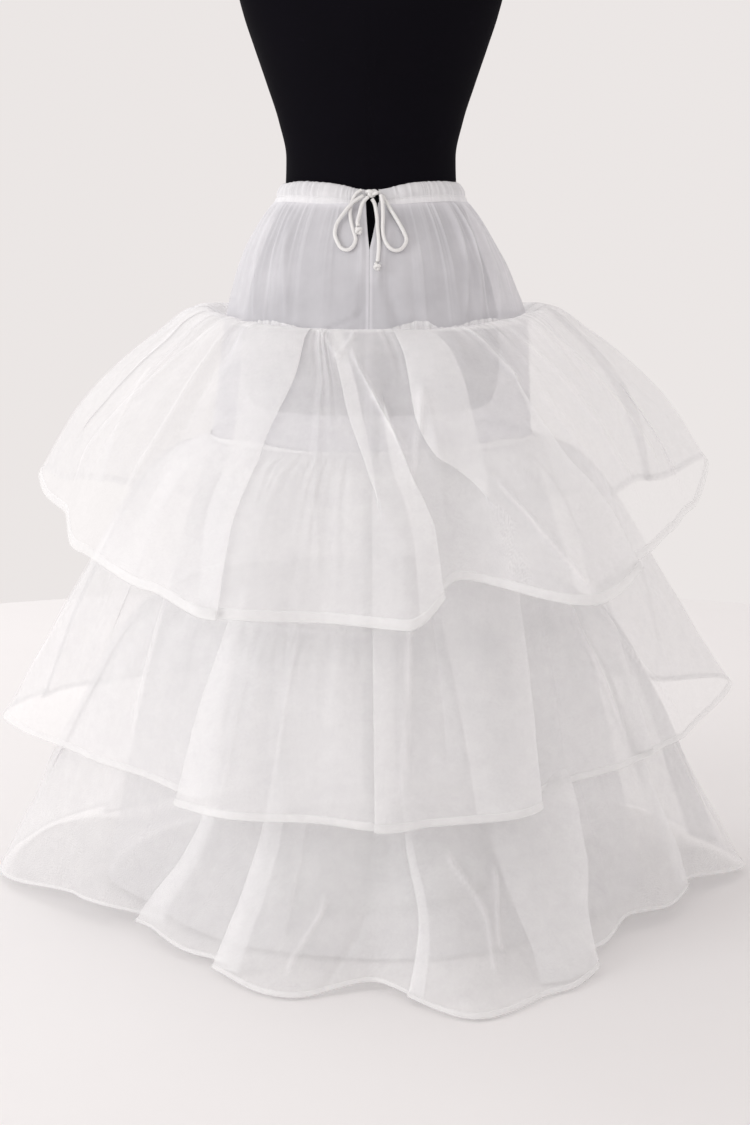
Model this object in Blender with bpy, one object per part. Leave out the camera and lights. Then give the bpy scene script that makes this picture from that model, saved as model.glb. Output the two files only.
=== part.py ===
"""Cancan skirt with three flared net tiers, standing on a limbless dress form.

Units are metres, +Z is up, the front is -Y, and the floor is the plane z = 0 under the form's base.
Angles are in degrees round the waist, from 0 at the front, growing towards +X.
"""

import math
from collections import namedtuple

import bmesh
import bpy
import numpy as np
from mathutils import Vector

# walls, gaps and trims
GAP = 0.0003
NET_WALL = 0.0012
YOKE_WALL = 0.0012
CASING_WALL = 0.0024
BINDING_WALL = 0.0016

# heights of the waist and of the seams that the tiers hang from
CASING_TOP = 1.0035
CASING_BOTTOM = 0.983
YOKE_BOTTOM = 0.643
TIER_1_SEAM = 0.813
TIER_2_SEAM = 0.652
TIER_3_SEAM = 0.420

# the front slit: its two edges at the waist, its foot, and the centre-front seam below it
SLIT_LEFT_ANGLE = -4.0
SLIT_RIGHT_ANGLE = 8.0
SLIT_FOOT_HEIGHT = 0.921
CENTRE_SEAM_ANGLE = -0.8
EDGE_TILT = 0.0012

# the casing's ruching and the gathers under it
RUCHE_DEPTH = 0.0008
RUCHES_PER_TURN = 44
RUCHE_SLANT = 1.4
WAIST_WAVE = 0.0022
YOKE_GATHER_DEPTH = 0.0018
YOKE_GATHERS = 13
YOKE_GATHER_REACH = 0.15
EDGE_COLUMNS = 3

# where along a tier's length its gathers are deepest and fade out, and how its pleats open
GATHER_TOP = 0.07
GATHER_MIDDLE = 0.12
GATHER_REACH = 0.34
PLEAT_START = 0.35
PLEAT_REACH = 0.6
PLEAT_STEP_GROWTH = 1.4
PLEAT_STEP_SHARPNESS = 2.2
PLEAT_FADE_WIDTHS = 3.5

# the drawcord and the knots on it
CORD_DIAMETER = 0.005
ROUTE_STEP = 0.010
KNOT_CENTRE = (0.001, -0.1036, 0.9945)
KNOT_HALF = (0.0095, 0.0048, 0.0062)
END_KNOT_HALF = (0.0040, 0.0040, 0.0062)

# the dress form's stand
POLE_RADIUS = 0.0125
BASE_RADIUS = 0.170
BASE_THICKNESS = 0.012
COLLAR_RADIUS = 0.028
COLLAR_HEIGHT = 0.055
NECK_CAP_HEIGHT = 0.014

Section = namedtuple("Section", "height half_width front_depth back_depth")
Profile = namedtuple("Profile", "part front_out front_drop side_out side_drop")
Fold = namedtuple("Fold", "angle radius height")
Pleat = namedtuple("Pleat", "angle facing overlap depth width")
Route = namedtuple("Route", "x height lift")

# the dress form's shell, from its rounded foot to its neck
TORSO = (
    Section(0.6900, 0.130, 0.100, 0.108),
    Section(0.6935, 0.156, 0.124, 0.134),
    Section(0.7050, 0.172, 0.138, 0.150),
    Section(0.7500, 0.181, 0.146, 0.158),
    Section(0.8050, 0.180, 0.140, 0.155),
    Section(0.8600, 0.170, 0.127, 0.138),
    Section(0.9200, 0.150, 0.110, 0.114),
    Section(0.9650, 0.1325, 0.097, 0.096),
    Section(1.0040, 0.1190, 0.0885, 0.0850),
    Section(1.0400, 0.1180, 0.0880, 0.0830),
    Section(1.0900, 0.1280, 0.096, 0.088),
    Section(1.1400, 0.1440, 0.110, 0.096),
    Section(1.1900, 0.1610, 0.124, 0.103),
    Section(1.2340, 0.1755, 0.122, 0.107),
    Section(1.2700, 0.1840, 0.109, 0.110),
    Section(1.3100, 0.1870, 0.094, 0.108),
    Section(1.3450, 0.1820, 0.082, 0.098),
    Section(1.3720, 0.1580, 0.070, 0.085),
    Section(1.3950, 0.1120, 0.060, 0.070),
    Section(1.4200, 0.0640, 0.052, 0.057),
    Section(1.4700, 0.0560, 0.050, 0.051),
)

# the middle of the casing's and the yoke's cloth, from the waist down
CASING = (
    Section(CASING_TOP, 0.1208, 0.0903, 0.0868),
    Section(0.9935, 0.1282, 0.0962, 0.0927),
    Section(CASING_BOTTOM, 0.1325, 0.0985, 0.0955),
)
YOKE = (
    Section(CASING_BOTTOM - EDGE_TILT, 0.1332, 0.0992, 0.0962),
    Section(0.955, 0.1530, 0.1180, 0.1160),
    Section(0.910, 0.1780, 0.1430, 0.1430),
    Section(0.860, 0.1950, 0.1620, 0.1640),
    Section(TIER_1_SEAM, 0.2060, 0.1790, 0.1830),
    Section(0.730, 0.2160, 0.1980, 0.2030),
    Section(YOKE_BOTTOM, 0.2270, 0.2180, 0.2220),
)

# how far out and how far down each tier's cloth has gone at a part of its length,
# as shares of the way from its seam to its hem, at the front and at the sides
TIER_1_PROFILE = (
    Profile(0.00, 0.00, 0.00, 0.00, 0.00),
    Profile(0.07, 0.13, -0.02, 0.10, -0.10),
    Profile(0.27, 0.42, 0.12, 0.34, 0.07),
    Profile(0.50, 0.66, 0.34, 0.60, 0.31),
    Profile(0.75, 0.87, 0.64, 0.83, 0.62),
    Profile(1.00, 1.00, 1.00, 1.00, 1.00),
)
TIER_2_PROFILE = (
    Profile(0.00, 0.00, 0.00, 0.00, 0.00),
    Profile(0.10, 0.20, 0.05, 0.21, 0.05),
    Profile(0.30, 0.48, 0.23, 0.48, 0.25),
    Profile(0.53, 0.68, 0.48, 0.70, 0.52),
    Profile(0.77, 0.86, 0.74, 0.87, 0.77),
    Profile(1.00, 1.00, 1.00, 1.00, 1.00),
)
TIER_3_PROFILE = (
    Profile(0.00, 0.00, 0.00, 0.00, 0.00),
    Profile(0.10, 0.12, 0.07, 0.18, 0.06),
    Profile(0.33, 0.25, 0.30, 0.45, 0.27),
    Profile(0.58, 0.40, 0.56, 0.70, 0.54),
    Profile(0.80, 0.64, 0.79, 0.87, 0.79),
    Profile(1.00, 1.00, 1.00, 1.00, 1.00),
)
UNDER_PROFILE = (
    Profile(0.00, 0.00, 0.00, 0.00, 0.00),
    Profile(0.30, 0.34, 0.30, 0.36, 0.30),
    Profile(0.65, 0.69, 0.65, 0.71, 0.65),
    Profile(1.00, 1.00, 1.00, 1.00, 1.00),
)

# crests and hollows of each hem, round the whole skirt
TIER_1_FOLDS = (
    Fold(-168, 0.432, 0.492),
    Fold(-150, 0.462, 0.482),
    Fold(-131, 0.441, 0.530),
    Fold(-112, 0.470, 0.560),
    Fold(-93, 0.466, 0.597),
    Fold(-72, 0.447, 0.566),
    Fold(-55, 0.468, 0.531),
    Fold(-39, 0.452, 0.496),
    Fold(-25, 0.466, 0.471),
    Fold(-8, 0.418, 0.464),
    Fold(6, 0.436, 0.461),
    Fold(17, 0.404, 0.512),
    Fold(36, 0.474, 0.484),
    Fold(55, 0.444, 0.516),
    Fold(70, 0.452, 0.540),
    Fold(94, 0.478, 0.612),
    Fold(113, 0.448, 0.560),
    Fold(131, 0.468, 0.516),
    Fold(152, 0.434, 0.500),
    Fold(172, 0.462, 0.470),
)
TIER_2_FOLDS = (
    Fold(-165, 0.452, 0.214),
    Fold(-146, 0.486, 0.220),
    Fold(-124, 0.470, 0.236),
    Fold(-106, 0.512, 0.240),
    Fold(-90, 0.530, 0.243),
    Fold(-70, 0.436, 0.222),
    Fold(-54, 0.410, 0.216),
    Fold(-36, 0.412, 0.205),
    Fold(-24, 0.420, 0.204),
    Fold(-11, 0.408, 0.203),
    Fold(2, 0.426, 0.199),
    Fold(12, 0.408, 0.201),
    Fold(24, 0.418, 0.203),
    Fold(44, 0.392, 0.214),
    Fold(60, 0.414, 0.222),
    Fold(80, 0.462, 0.234),
    Fold(96, 0.536, 0.280),
    Fold(114, 0.480, 0.250),
    Fold(134, 0.500, 0.226),
    Fold(156, 0.450, 0.212),
    Fold(176, 0.476, 0.206),
)
TIER_3_FOLDS = (
    Fold(-170, 0.486, 0.008),
    Fold(-153, 0.522, 0.004),
    Fold(-134, 0.492, 0.020),
    Fold(-115, 0.544, 0.005),
    Fold(-89, 0.540, 0.010),
    Fold(-66, 0.462, 0.028),
    Fold(-48, 0.404, 0.018),
    Fold(-30, 0.440, 0.010),
    Fold(-11, 0.506, 0.004),
    Fold(0, 0.466, 0.012),
    Fold(13, 0.582, 0.004),
    Fold(26, 0.528, 0.004),
    Fold(40, 0.482, 0.014),
    Fold(54, 0.448, 0.026),
    Fold(63, 0.472, 0.024),
    Fold(74, 0.474, 0.030),
    Fold(93, 0.560, 0.010),
    Fold(112, 0.500, 0.018),
    Fold(128, 0.530, 0.004),
    Fold(146, 0.484, 0.016),
    Fold(164, 0.530, 0.005),
    Fold(178, 0.496, 0.010),
)
UNDER_FOLDS = (
    Fold(-162, 0.385, 0.008),
    Fold(-128, 0.398, 0.008),
    Fold(-92, 0.388, 0.008),
    Fold(-60, 0.346, 0.010),
    Fold(-22, 0.372, 0.008),
    Fold(14, 0.382, 0.007),
    Fold(48, 0.366, 0.009),
    Fold(86, 0.392, 0.008),
    Fold(126, 0.398, 0.008),
    Fold(160, 0.390, 0.008),
)

# knife pleats: facing 1 lays the cloth below the angle over the cloth beyond it, -1 the other way
TIER_1_PLEATS = (
    Pleat(-118, -1, 4.0, 0.034, 7.0),
    Pleat(9, 1, 3.5, 0.034, 6.5),
    Pleat(48, 1, 3.5, 0.028, 6.5),
    Pleat(148, 1, 4.0, 0.034, 7.0),
)
TIER_2_PLEATS = (
    Pleat(-142, 1, 4.0, 0.044, 7.0),
    Pleat(-36, -1, 4.5, 0.050, 8.0),
    Pleat(30.5, 1, 5.0, 0.047, 8.0),
    Pleat(128, -1, 4.0, 0.044, 7.0),
)
TIER_3_PLEATS = (
    Pleat(-125, -1, 4.0, 0.042, 7.0),
    Pleat(-50, -1, 4.0, 0.036, 7.0),
    Pleat(-25.5, -1, 3.5, 0.032, 6.5),
    Pleat(35, 1, 4.0, 0.046, 7.0),
    Pleat(137, 1, 4.0, 0.046, 7.0),
)

Tier = namedtuple(
    "Tier",
    "name seam folds pleats profile columns gathers gather_depth fold_growth binding colour",
)

NET_WHITE = (0.86, 0.85, 0.87, 1.0)
UNDER_WHITE = (0.80, 0.79, 0.82, 1.0)
YOKE_GREY = (0.66, 0.66, 0.70, 1.0)
SATIN_WHITE = (0.92, 0.92, 0.93, 1.0)
CORD_WHITE = (0.93, 0.92, 0.91, 1.0)
FORM_BLACK = (0.010, 0.010, 0.014, 1.0)

TIERS = (
    Tier("tier_1", TIER_1_SEAM, TIER_1_FOLDS, TIER_1_PLEATS, TIER_1_PROFILE, 104, 26, 0.0075, 2.0,
         0.009, NET_WHITE),
    Tier("tier_2", TIER_2_SEAM, TIER_2_FOLDS, TIER_2_PLEATS, TIER_2_PROFILE, 100, 25, 0.0060, 2.4,
         0.009, NET_WHITE),
    Tier("tier_3", TIER_3_SEAM, TIER_3_FOLDS, TIER_3_PLEATS, TIER_3_PROFILE, 104, 26, 0.0060, 3.0,
         0.005, NET_WHITE),
)
UNDER_LAYER = Tier("under_layer", YOKE_BOTTOM - GAP, UNDER_FOLDS, (), UNDER_PROFILE, 54, 0, 0.0,
                   1.0, 0.0, UNDER_WHITE)

# the drawcord's routes, as seen from the front, with their height above the yoke's cloth
LOOP_LEFT = (
    Route(-0.0105, 0.9912, 0.0095), Route(-0.0160, 0.9880, 0.0118), Route(-0.0242, 0.9822, 0.0128),
    Route(-0.0354, 0.9696, 0.0100), Route(-0.0457, 0.9546, 0.0065), Route(-0.0486, 0.9421, 0.0058),
    Route(-0.0464, 0.9330, 0.0058), Route(-0.0404, 0.9231, 0.0058), Route(-0.0322, 0.9200, 0.0058),
    Route(-0.0257, 0.9231, 0.0058), Route(-0.0214, 0.9297, 0.0058), Route(-0.0207, 0.9364, 0.0058),
    Route(-0.0232, 0.9447, 0.0056), Route(-0.0258, 0.9538, 0.0054), Route(-0.0276, 0.9630, 0.0054),
    Route(-0.0278, 0.9713, 0.0056), Route(-0.0256, 0.9830, 0.0056), Route(-0.0200, 0.9935, 0.0058),
    Route(-0.0125, 0.9985, 0.0062),
)
TAIL_LEFT = (
    Route(-0.0038, 0.9898, 0.0104), Route(-0.0088, 0.9845, 0.0118), Route(-0.0126, 0.9780, 0.0122),
    Route(-0.0152, 0.9679, 0.0105), Route(-0.0180, 0.9571, 0.0105), Route(-0.0172, 0.9515, 0.0112),
)
LOOP_RIGHT = (
    Route(0.0135, 0.9925, 0.0110), Route(0.0155, 0.9830, 0.0120), Route(0.0163, 0.9696, 0.0095),
    Route(0.0162, 0.9580, 0.0072), Route(0.0160, 0.9464, 0.0060), Route(0.0174, 0.9364, 0.0058),
    Route(0.0215, 0.9272, 0.0058), Route(0.0274, 0.9214, 0.0058), Route(0.0342, 0.9193, 0.0058),
    Route(0.0411, 0.9214, 0.0058), Route(0.0464, 0.9280, 0.0058), Route(0.0476, 0.9347, 0.0058),
    Route(0.0437, 0.9447, 0.0058), Route(0.0361, 0.9580, 0.0058), Route(0.0275, 0.9713, 0.0055),
    Route(0.0205, 0.9830, 0.0052), Route(0.0155, 0.9905, 0.0050),
)
TAIL_RIGHT = (
    Route(0.0015, 0.9868, 0.0080), Route(0.0048, 0.9810, 0.0075), Route(0.0066, 0.9738, 0.0068),
    Route(0.0084, 0.9613, 0.0060), Route(0.0090, 0.9489, 0.0056), Route(0.0102, 0.9364, 0.0056),
    Route(0.0106, 0.9239, 0.0056), Route(0.0098, 0.9131, 0.0056), Route(0.0090, 0.9050, 0.0056),
)


def clear_scene():
    """Remove what a new file holds."""
    for item in list(bpy.data.objects):
        bpy.data.objects.remove(item, do_unlink=True)


def finish_material(name, colour, roughness):
    """Return a Principled material of one colour."""
    material = bpy.data.materials.new(name)
    material.use_nodes = True
    shader = material.node_tree.nodes["Principled BSDF"]
    shader.inputs["Base Color"].default_value = colour
    shader.inputs["Roughness"].default_value = roughness
    shader.inputs["Metallic"].default_value = 0.0
    return material


def add_object(name, data, colour, roughness=0.8):
    """Link one named object with a material of its own."""
    data.materials.append(finish_material(name + "_finish", colour, roughness))
    item = bpy.data.objects.new(name, data)
    bpy.context.scene.collection.objects.link(item)
    return item


def oval(half_width, depth, angle):
    """Return an oval's radius in one direction."""
    turn = math.radians(angle)
    return half_width * depth / math.hypot(half_width * math.cos(turn), depth * math.sin(turn))


def section_at(sections, height):
    """Return the section at a height, between the two rows around it."""
    rows = sorted(sections)
    height = min(max(height, rows[0].height), rows[-1].height)
    for lower, upper in zip(rows, rows[1:]):
        if height <= upper.height:
            share = (height - lower.height) / (upper.height - lower.height)
            return Section(*(a + (b - a) * share for a, b in zip(lower, upper)))
    return rows[-1]


def radius_at(sections, height, angle):
    """Return the radius of a body of oval sections at a height and an angle."""
    row = section_at(sections, height)
    depth = row.front_depth if math.cos(math.radians(angle)) > 0 else row.back_depth
    return oval(row.half_width, depth, angle)


def polar(angle, radius, height):
    """Return the point at an angle, a radius and a height."""
    turn = math.radians(angle)
    return Vector((radius * math.sin(turn), -radius * math.cos(turn), height))


def ease(share):
    """Return a share from 0 to 1 with level ends."""
    share = min(max(share, 0.0), 1.0)
    return share * share * (3.0 - 2.0 * share)


def fold_at(folds, angle):
    """Return the hem's radius and height at an angle, eased from each crest to the next hollow."""
    first = folds[0]
    rows = list(folds) + [Fold(first.angle + 360, first.radius, first.height)]
    turned = first.angle + (angle - first.angle) % 360
    for before, after in zip(rows, rows[1:]):
        if turned <= after.angle:
            share = ease((turned - before.angle) / (after.angle - before.angle))
            return (before.radius + (after.radius - before.radius) * share,
                    before.height + (after.height - before.height) * share)
    return first.radius, first.height


def mean_radius(folds, angle):
    """Return the hem's radius with its folds evened out over a sixth of a turn."""
    reach = 30
    steps = range(-reach, reach + 1, 10)
    return sum(fold_at(folds, angle + step)[0] for step in steps) / len(steps)


def profile_at(profile, part, side):
    """Return how far out and down the cloth is at a part of its length, from front (0) to side (1)."""
    for before, after in zip(profile, profile[1:]):
        if part <= after.part or after is profile[-1]:
            share = (part - before.part) / (after.part - before.part)
            row = Profile(*(a + (b - a) * share for a, b in zip(before, after)))
            out = row.front_out + (row.side_out - row.front_out) * side
            drop = row.front_drop + (row.side_drop - row.front_drop) * side
            return out, drop
    return 1.0, 1.0


def signed_turn(angle, centre):
    """Return the angle from a centre, between -180 and 180."""
    return (angle - centre + 180) % 360 - 180


def tier_seam_radius(tier, angle):
    """Return the radius that a tier's top edge is sewn at."""
    if tier.seam >= YOKE_BOTTOM:
        standoff = YOKE_WALL / 2 + NET_WALL / 2 + GAP
        return radius_at(YOKE, tier.seam, angle) + standoff
    if tier.name == UNDER_LAYER.name:
        return radius_at(YOKE, YOKE_BOTTOM, angle)
    hem = fold_at(UNDER_LAYER.folds, angle)[1]
    part = (UNDER_LAYER.seam - tier.seam) / (UNDER_LAYER.seam - hem)
    under = tier_point(UNDER_LAYER, angle, part)
    return math.hypot(under.x, under.y) + NET_WALL + GAP


def tier_point(tier, station, part):
    """Return the middle of a tier's cloth at a station round it and a part of its length."""
    angle = station
    step = 0.0
    for pleat in tier.pleats:
        away = signed_turn(station, pleat.angle)
        if abs(away) < pleat.width:
            lap = pleat.overlap * ease((part - PLEAT_START) / PLEAT_REACH)
            angle -= lap * math.sin(math.pi * away / pleat.width)
        fade = math.exp(-(away / (PLEAT_FADE_WIDTHS * pleat.width)) ** 2)
        side_sign = math.tanh(PLEAT_STEP_SHARPNESS * away / pleat.width)
        step -= pleat.facing * side_sign * fade * pleat.depth / 2 * part ** PLEAT_STEP_GROWTH
    side = math.sin(math.radians(angle)) ** 4
    out, drop = profile_at(tier.profile, part, side)
    seam_radius = tier_seam_radius(tier, angle)
    hem_radius, hem_height = fold_at(tier.folds, angle)
    level = mean_radius(tier.folds, angle)
    gather = 0.5 - 0.5 * math.cos(math.radians(station) * tier.gathers)
    gather_out = tier.gather_depth * gather * math.exp(-((part - GATHER_MIDDLE) / GATHER_REACH) ** 2)
    gather_out *= min(part / GATHER_TOP, 1.0)
    radius = seam_radius + (level - seam_radius) * out
    radius += (hem_radius - level) * part ** tier.fold_growth + step + gather_out
    height = tier.seam + (hem_height - tier.seam) * drop
    return polar(angle, radius, height)


def stations(tier):
    """Return the angles of a tier's columns, closer together in its pleats."""
    fine = np.linspace(-180.0, 180.0, 1441)
    weight = np.ones_like(fine)
    extra = 2.2
    spread = 0.8
    for pleat in tier.pleats:
        away = (fine - pleat.angle + 180) % 360 - 180
        weight += extra * np.exp(-(away / (spread * pleat.width)) ** 2)
    total = np.concatenate(([0.0], np.cumsum((weight[1:] + weight[:-1]) / 2)))
    marks = np.linspace(0.0, total[-1], tier.columns + 1)
    return [float(value) for value in np.interp(marks, total, fine)]


def add_sheet(name, columns, rows, place, wall, colour, roughness=0.8, wraps=True):
    """Bend a grid into a sheet of cloth, rows running downwards, and give it a wall."""
    mesh = bpy.data.meshes.new(name)
    bm = bmesh.new()
    bmesh.ops.create_grid(bm, x_segments=columns, y_segments=rows, size=1.0)
    for vertex in bm.verts:
        column = round((vertex.co.x + 1.0) / 2.0 * columns)
        row = round((1.0 - vertex.co.y) / 2.0 * rows)
        vertex.co = place(column % columns if wraps else column, row)
    if wraps:
        bmesh.ops.remove_doubles(bm, verts=bm.verts, dist=1e-6)
    bm.to_mesh(mesh)
    bm.free()
    mesh.shade_smooth()
    item = add_object(name, mesh, colour, roughness)
    solid = item.modifiers.new("wall", "SOLIDIFY")
    solid.thickness = wall
    solid.offset = 0.0
    solid.use_rim = True
    return item


def slit_edge(height, sign):
    """Return the angle of the slit's or the centre seam's edge, at the left (-1) or the right (1)."""
    top = SLIT_LEFT_ANGLE if sign < 0 else SLIT_RIGHT_ANGLE
    share = max((height - SLIT_FOOT_HEIGHT) / (CASING_BOTTOM - SLIT_FOOT_HEIGHT), 0.0)
    foot = CENTRE_SEAM_ANGLE + sign * half_gap_angle(height)
    return foot + (top - foot) * min(share, 1.0)


def half_gap_angle(height):
    """Return the angle that half a seam's gap takes up at the front or back of the yoke."""
    return math.degrees(GAP / 2 / section_at(YOKE, height).front_depth)


def add_casing():
    """Add the ruched waist casing, open at the front slit."""
    columns = 76
    start = SLIT_RIGHT_ANGLE
    end = 360 + SLIT_LEFT_ANGLE

    def place(column, row):
        angle = start + (end - start) * column / columns
        section = CASING[row]
        radius = radius_at(CASING, section.height, angle)
        ruche = RUCHE_DEPTH * math.sin(math.radians(angle) * RUCHES_PER_TURN + RUCHE_SLANT * row)
        edge_fade = min(column, columns - column, EDGE_COLUMNS) / EDGE_COLUMNS
        wave = WAIST_WAVE * math.sin(math.radians(2 * angle)) ** 2 if row == 0 else 0.0
        return polar(angle, radius + max(ruche, 0.0) * edge_fade, section.height + wave)

    add_sheet("waist_casing", columns, len(CASING) - 1, place, CASING_WALL, SATIN_WHITE, 0.6,
              wraps=False)


def add_yoke():
    """Add the two halves of the yoke, gathered into the casing and seamed at front and back."""
    columns = 42
    for name, sign in (("yoke_left", -1), ("yoke_right", 1)):

        def place(column, row, sign=sign):
            section = YOKE[row]
            start = slit_edge(section.height, sign)
            back = sign * (180 - half_gap_angle(section.height))
            share = column / columns if sign > 0 else 1 - column / columns
            angle = start + (back - start) * share
            near = 1 - ease((CASING_BOTTOM - section.height) / YOKE_GATHER_REACH)
            edge_fade = min(column, columns - column, EDGE_COLUMNS) / EDGE_COLUMNS
            gather = YOKE_GATHER_DEPTH * near * math.sin(share * math.tau * YOKE_GATHERS) * edge_fade
            radius = radius_at(YOKE, section.height, angle) + gather
            return polar(angle, radius, section.height)

        add_sheet(name, columns, len(YOKE) - 1, place, YOKE_WALL, YOKE_GREY, wraps=False)


def add_tier(tier):
    """Add a tier's net and the binding on its hem."""
    angles = stations(tier)
    length = tier.seam - tier.folds[0].height
    net_end = 1.0 - tier.binding / length
    parts = [row.part * net_end for row in tier.profile]

    def place_net(column, row):
        return tier_point(tier, angles[column], parts[row])

    add_sheet(tier.name + "_net", tier.columns, len(parts) - 1, place_net, NET_WALL, tier.colour)
    if tier.binding > 0.0:
        top = net_end + 2 * GAP / length

        def place_binding(column, row):
            return tier_point(tier, angles[column], (top, 1.0)[row])

        add_sheet(tier.name + "_binding", tier.columns, 1, place_binding, BINDING_WALL,
                  SATIN_WHITE, 0.45)


def add_under_layer():
    """Add the plain net layer that carries the lowest tier."""
    angles = stations(UNDER_LAYER)
    parts = [row.part for row in UNDER_PROFILE]

    def place(column, row):
        return tier_point(UNDER_LAYER, angles[column], parts[row])

    add_sheet("under_layer", UNDER_LAYER.columns, len(parts) - 1, place, NET_WALL, UNDER_WHITE)


def on_yoke(route):
    """Return a point of the drawcord's route, held off the cloth behind it."""
    sections = CASING if route.height > CASING_BOTTOM else YOKE
    row = section_at(sections, route.height)
    depth = row.front_depth * math.sqrt(1 - (route.x / row.half_width) ** 2)
    return Vector((route.x, -depth - route.lift, route.height))


def smooth_route(points, step):
    """Return points at even steps along a smooth curve through the route's points."""
    ends = [points[0] * 2 - points[1]] + list(points) + [points[-1] * 2 - points[-2]]
    fine = []
    pieces = 12
    for a, b, c, d in zip(ends, ends[1:], ends[2:], ends[3:]):
        for piece in range(pieces):
            t = piece / pieces
            fine.append(0.5 * (2 * b + (c - a) * t + (2 * a - 5 * b + 4 * c - d) * t ** 2
                               + (3 * b - 3 * c + d - a) * t ** 3))
    fine.append(points[-1])
    run = [0.0]
    for before, after in zip(fine, fine[1:]):
        run.append(run[-1] + (after - before).length)
    count = max(round(run[-1] / step), 4)
    marks = [run[-1] * i / count for i in range(count + 1)]
    axes = [np.interp(marks, run, [p[axis] for p in fine]) for axis in range(3)]
    return [Vector((float(x), float(y), float(z))) for x, y, z in zip(*axes)]


def add_cord(name, points):
    """Add a round cord along a list of points."""
    curve = bpy.data.curves.new(name, "CURVE")
    curve.dimensions = "3D"
    curve.bevel_depth = CORD_DIAMETER / 2
    curve.bevel_resolution = 2
    curve.use_fill_caps = True
    spline = curve.splines.new("POLY")
    spline.points.add(len(points) - 1)
    for target, point in zip(spline.points, points):
        target.co = (point.x, point.y, point.z, 1.0)
    return add_object(name, curve, CORD_WHITE, 0.7)


def add_ellipsoid(name, centre, halves, colour, roughness):
    """Add a knot's plain rounded body."""
    mesh = bpy.data.meshes.new(name)
    bm = bmesh.new()
    bmesh.ops.create_uvsphere(bm, u_segments=12, v_segments=8, radius=1.0)
    bmesh.ops.scale(bm, verts=bm.verts, vec=Vector(halves))
    bmesh.ops.translate(bm, verts=bm.verts, vec=Vector(centre))
    bm.to_mesh(mesh)
    bm.free()
    mesh.shade_smooth()
    return add_object(name, mesh, colour, roughness)


def add_drawcord():
    """Add the tied drawcord: the stretch across the slit, the bow's loops, its tails and knots."""
    radius = radius_at(CASING, KNOT_CENTRE[2], 0)
    clear = math.degrees(2 * GAP / radius)
    start, end = SLIT_LEFT_ANGLE + clear, SLIT_RIGHT_ANGLE - clear
    steps = 4
    bridge = [polar(start + (end - start) * i / steps, radius, KNOT_CENTRE[2])
              for i in range(steps + 1)]
    add_cord("cord_bridge", bridge)
    for name, route in (("cord_loop_left", LOOP_LEFT), ("cord_tail_left", TAIL_LEFT),
                        ("cord_loop_right", LOOP_RIGHT), ("cord_tail_right", TAIL_RIGHT)):
        add_cord(name, smooth_route([on_yoke(row) for row in route], ROUTE_STEP))
    add_ellipsoid("bow_knot", KNOT_CENTRE, KNOT_HALF, CORD_WHITE, 0.7)
    for name, route in (("end_knot_left", TAIL_LEFT), ("end_knot_right", TAIL_RIGHT)):
        last, before = on_yoke(route[-1]), on_yoke(route[-2])
        heading = (last - before).normalized()
        centre = last + heading * (END_KNOT_HALF[2] + GAP)
        add_ellipsoid(name, centre, END_KNOT_HALF, CORD_WHITE, 0.7)


def add_torso():
    """Add the dress form's smooth shell as one closed loft."""
    columns = 32
    mesh = bpy.data.meshes.new("form_torso")
    bm = bmesh.new()
    rows = len(TORSO) - 1
    bmesh.ops.create_grid(bm, x_segments=columns, y_segments=rows, size=1.0)
    for vertex in bm.verts:
        column = round((vertex.co.x + 1.0) / 2.0 * columns) % columns
        section = TORSO[round((vertex.co.y + 1.0) / 2.0 * rows)]
        angle = 360 * column / columns
        vertex.co = polar(angle, radius_at(TORSO, section.height, angle), section.height)
    bmesh.ops.remove_doubles(bm, verts=bm.verts, dist=1e-6)
    bmesh.ops.holes_fill(bm, edges=bm.edges, sides=columns)
    bmesh.ops.recalc_face_normals(bm, faces=bm.faces)
    bm.to_mesh(mesh)
    bm.free()
    mesh.shade_smooth()
    add_object("form_torso", mesh, FORM_BLACK, 0.85)


def add_turned(name, profile, segments, colour, roughness):
    """Spin a profile of radius and height pairs, outer side from top to bottom, round the upright axis."""
    mesh = bpy.data.meshes.new(name)
    bm = bmesh.new()
    chain = [bm.verts.new((radius, 0.0, height)) for radius, height in profile]
    edges = [bm.edges.new(pair) for pair in zip(chain, chain[1:])]
    bmesh.ops.spin(bm, geom=chain + edges, cent=(0, 0, 0), axis=(0, 0, 1), angle=math.tau,
                   steps=segments, use_merge=True)
    bmesh.ops.remove_doubles(bm, verts=bm.verts, dist=1e-6)
    bmesh.ops.recalc_face_normals(bm, faces=bm.faces)
    bm.to_mesh(mesh)
    bm.free()
    mesh.shade_smooth()
    return add_object(name, mesh, colour, roughness)


def add_stand():
    """Add the neck cap, the pole and the flat round base."""
    neck = TORSO[-1]
    top = neck.height + GAP
    cap_radius = neck.front_depth - 0.001
    cap = [(0.0, top + NECK_CAP_HEIGHT), (cap_radius * 0.7, top + NECK_CAP_HEIGHT * 0.9),
           (cap_radius, top + NECK_CAP_HEIGHT * 0.45), (cap_radius, top), (0.0, top)]
    add_turned("form_neck_cap", cap, 24, FORM_BLACK, 0.4)
    pole_top = TORSO[0].height - GAP
    pole_foot = COLLAR_HEIGHT + GAP
    pole = [(0.0, pole_top), (POLE_RADIUS, pole_top), (POLE_RADIUS, pole_foot), (0.0, pole_foot)]
    add_turned("form_pole", pole, 16, FORM_BLACK, 0.3)
    rim = 0.004
    base = [(0.0, COLLAR_HEIGHT), (COLLAR_RADIUS - rim, COLLAR_HEIGHT),
            (COLLAR_RADIUS, COLLAR_HEIGHT - rim), (COLLAR_RADIUS, BASE_THICKNESS + 0.006),
            (COLLAR_RADIUS + 0.008, BASE_THICKNESS), (BASE_RADIUS - rim, BASE_THICKNESS),
            (BASE_RADIUS, BASE_THICKNESS - rim), (BASE_RADIUS, 0.0), (0.0, 0.0)]
    add_turned("form_base", base, 36, FORM_BLACK, 0.35)


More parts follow.
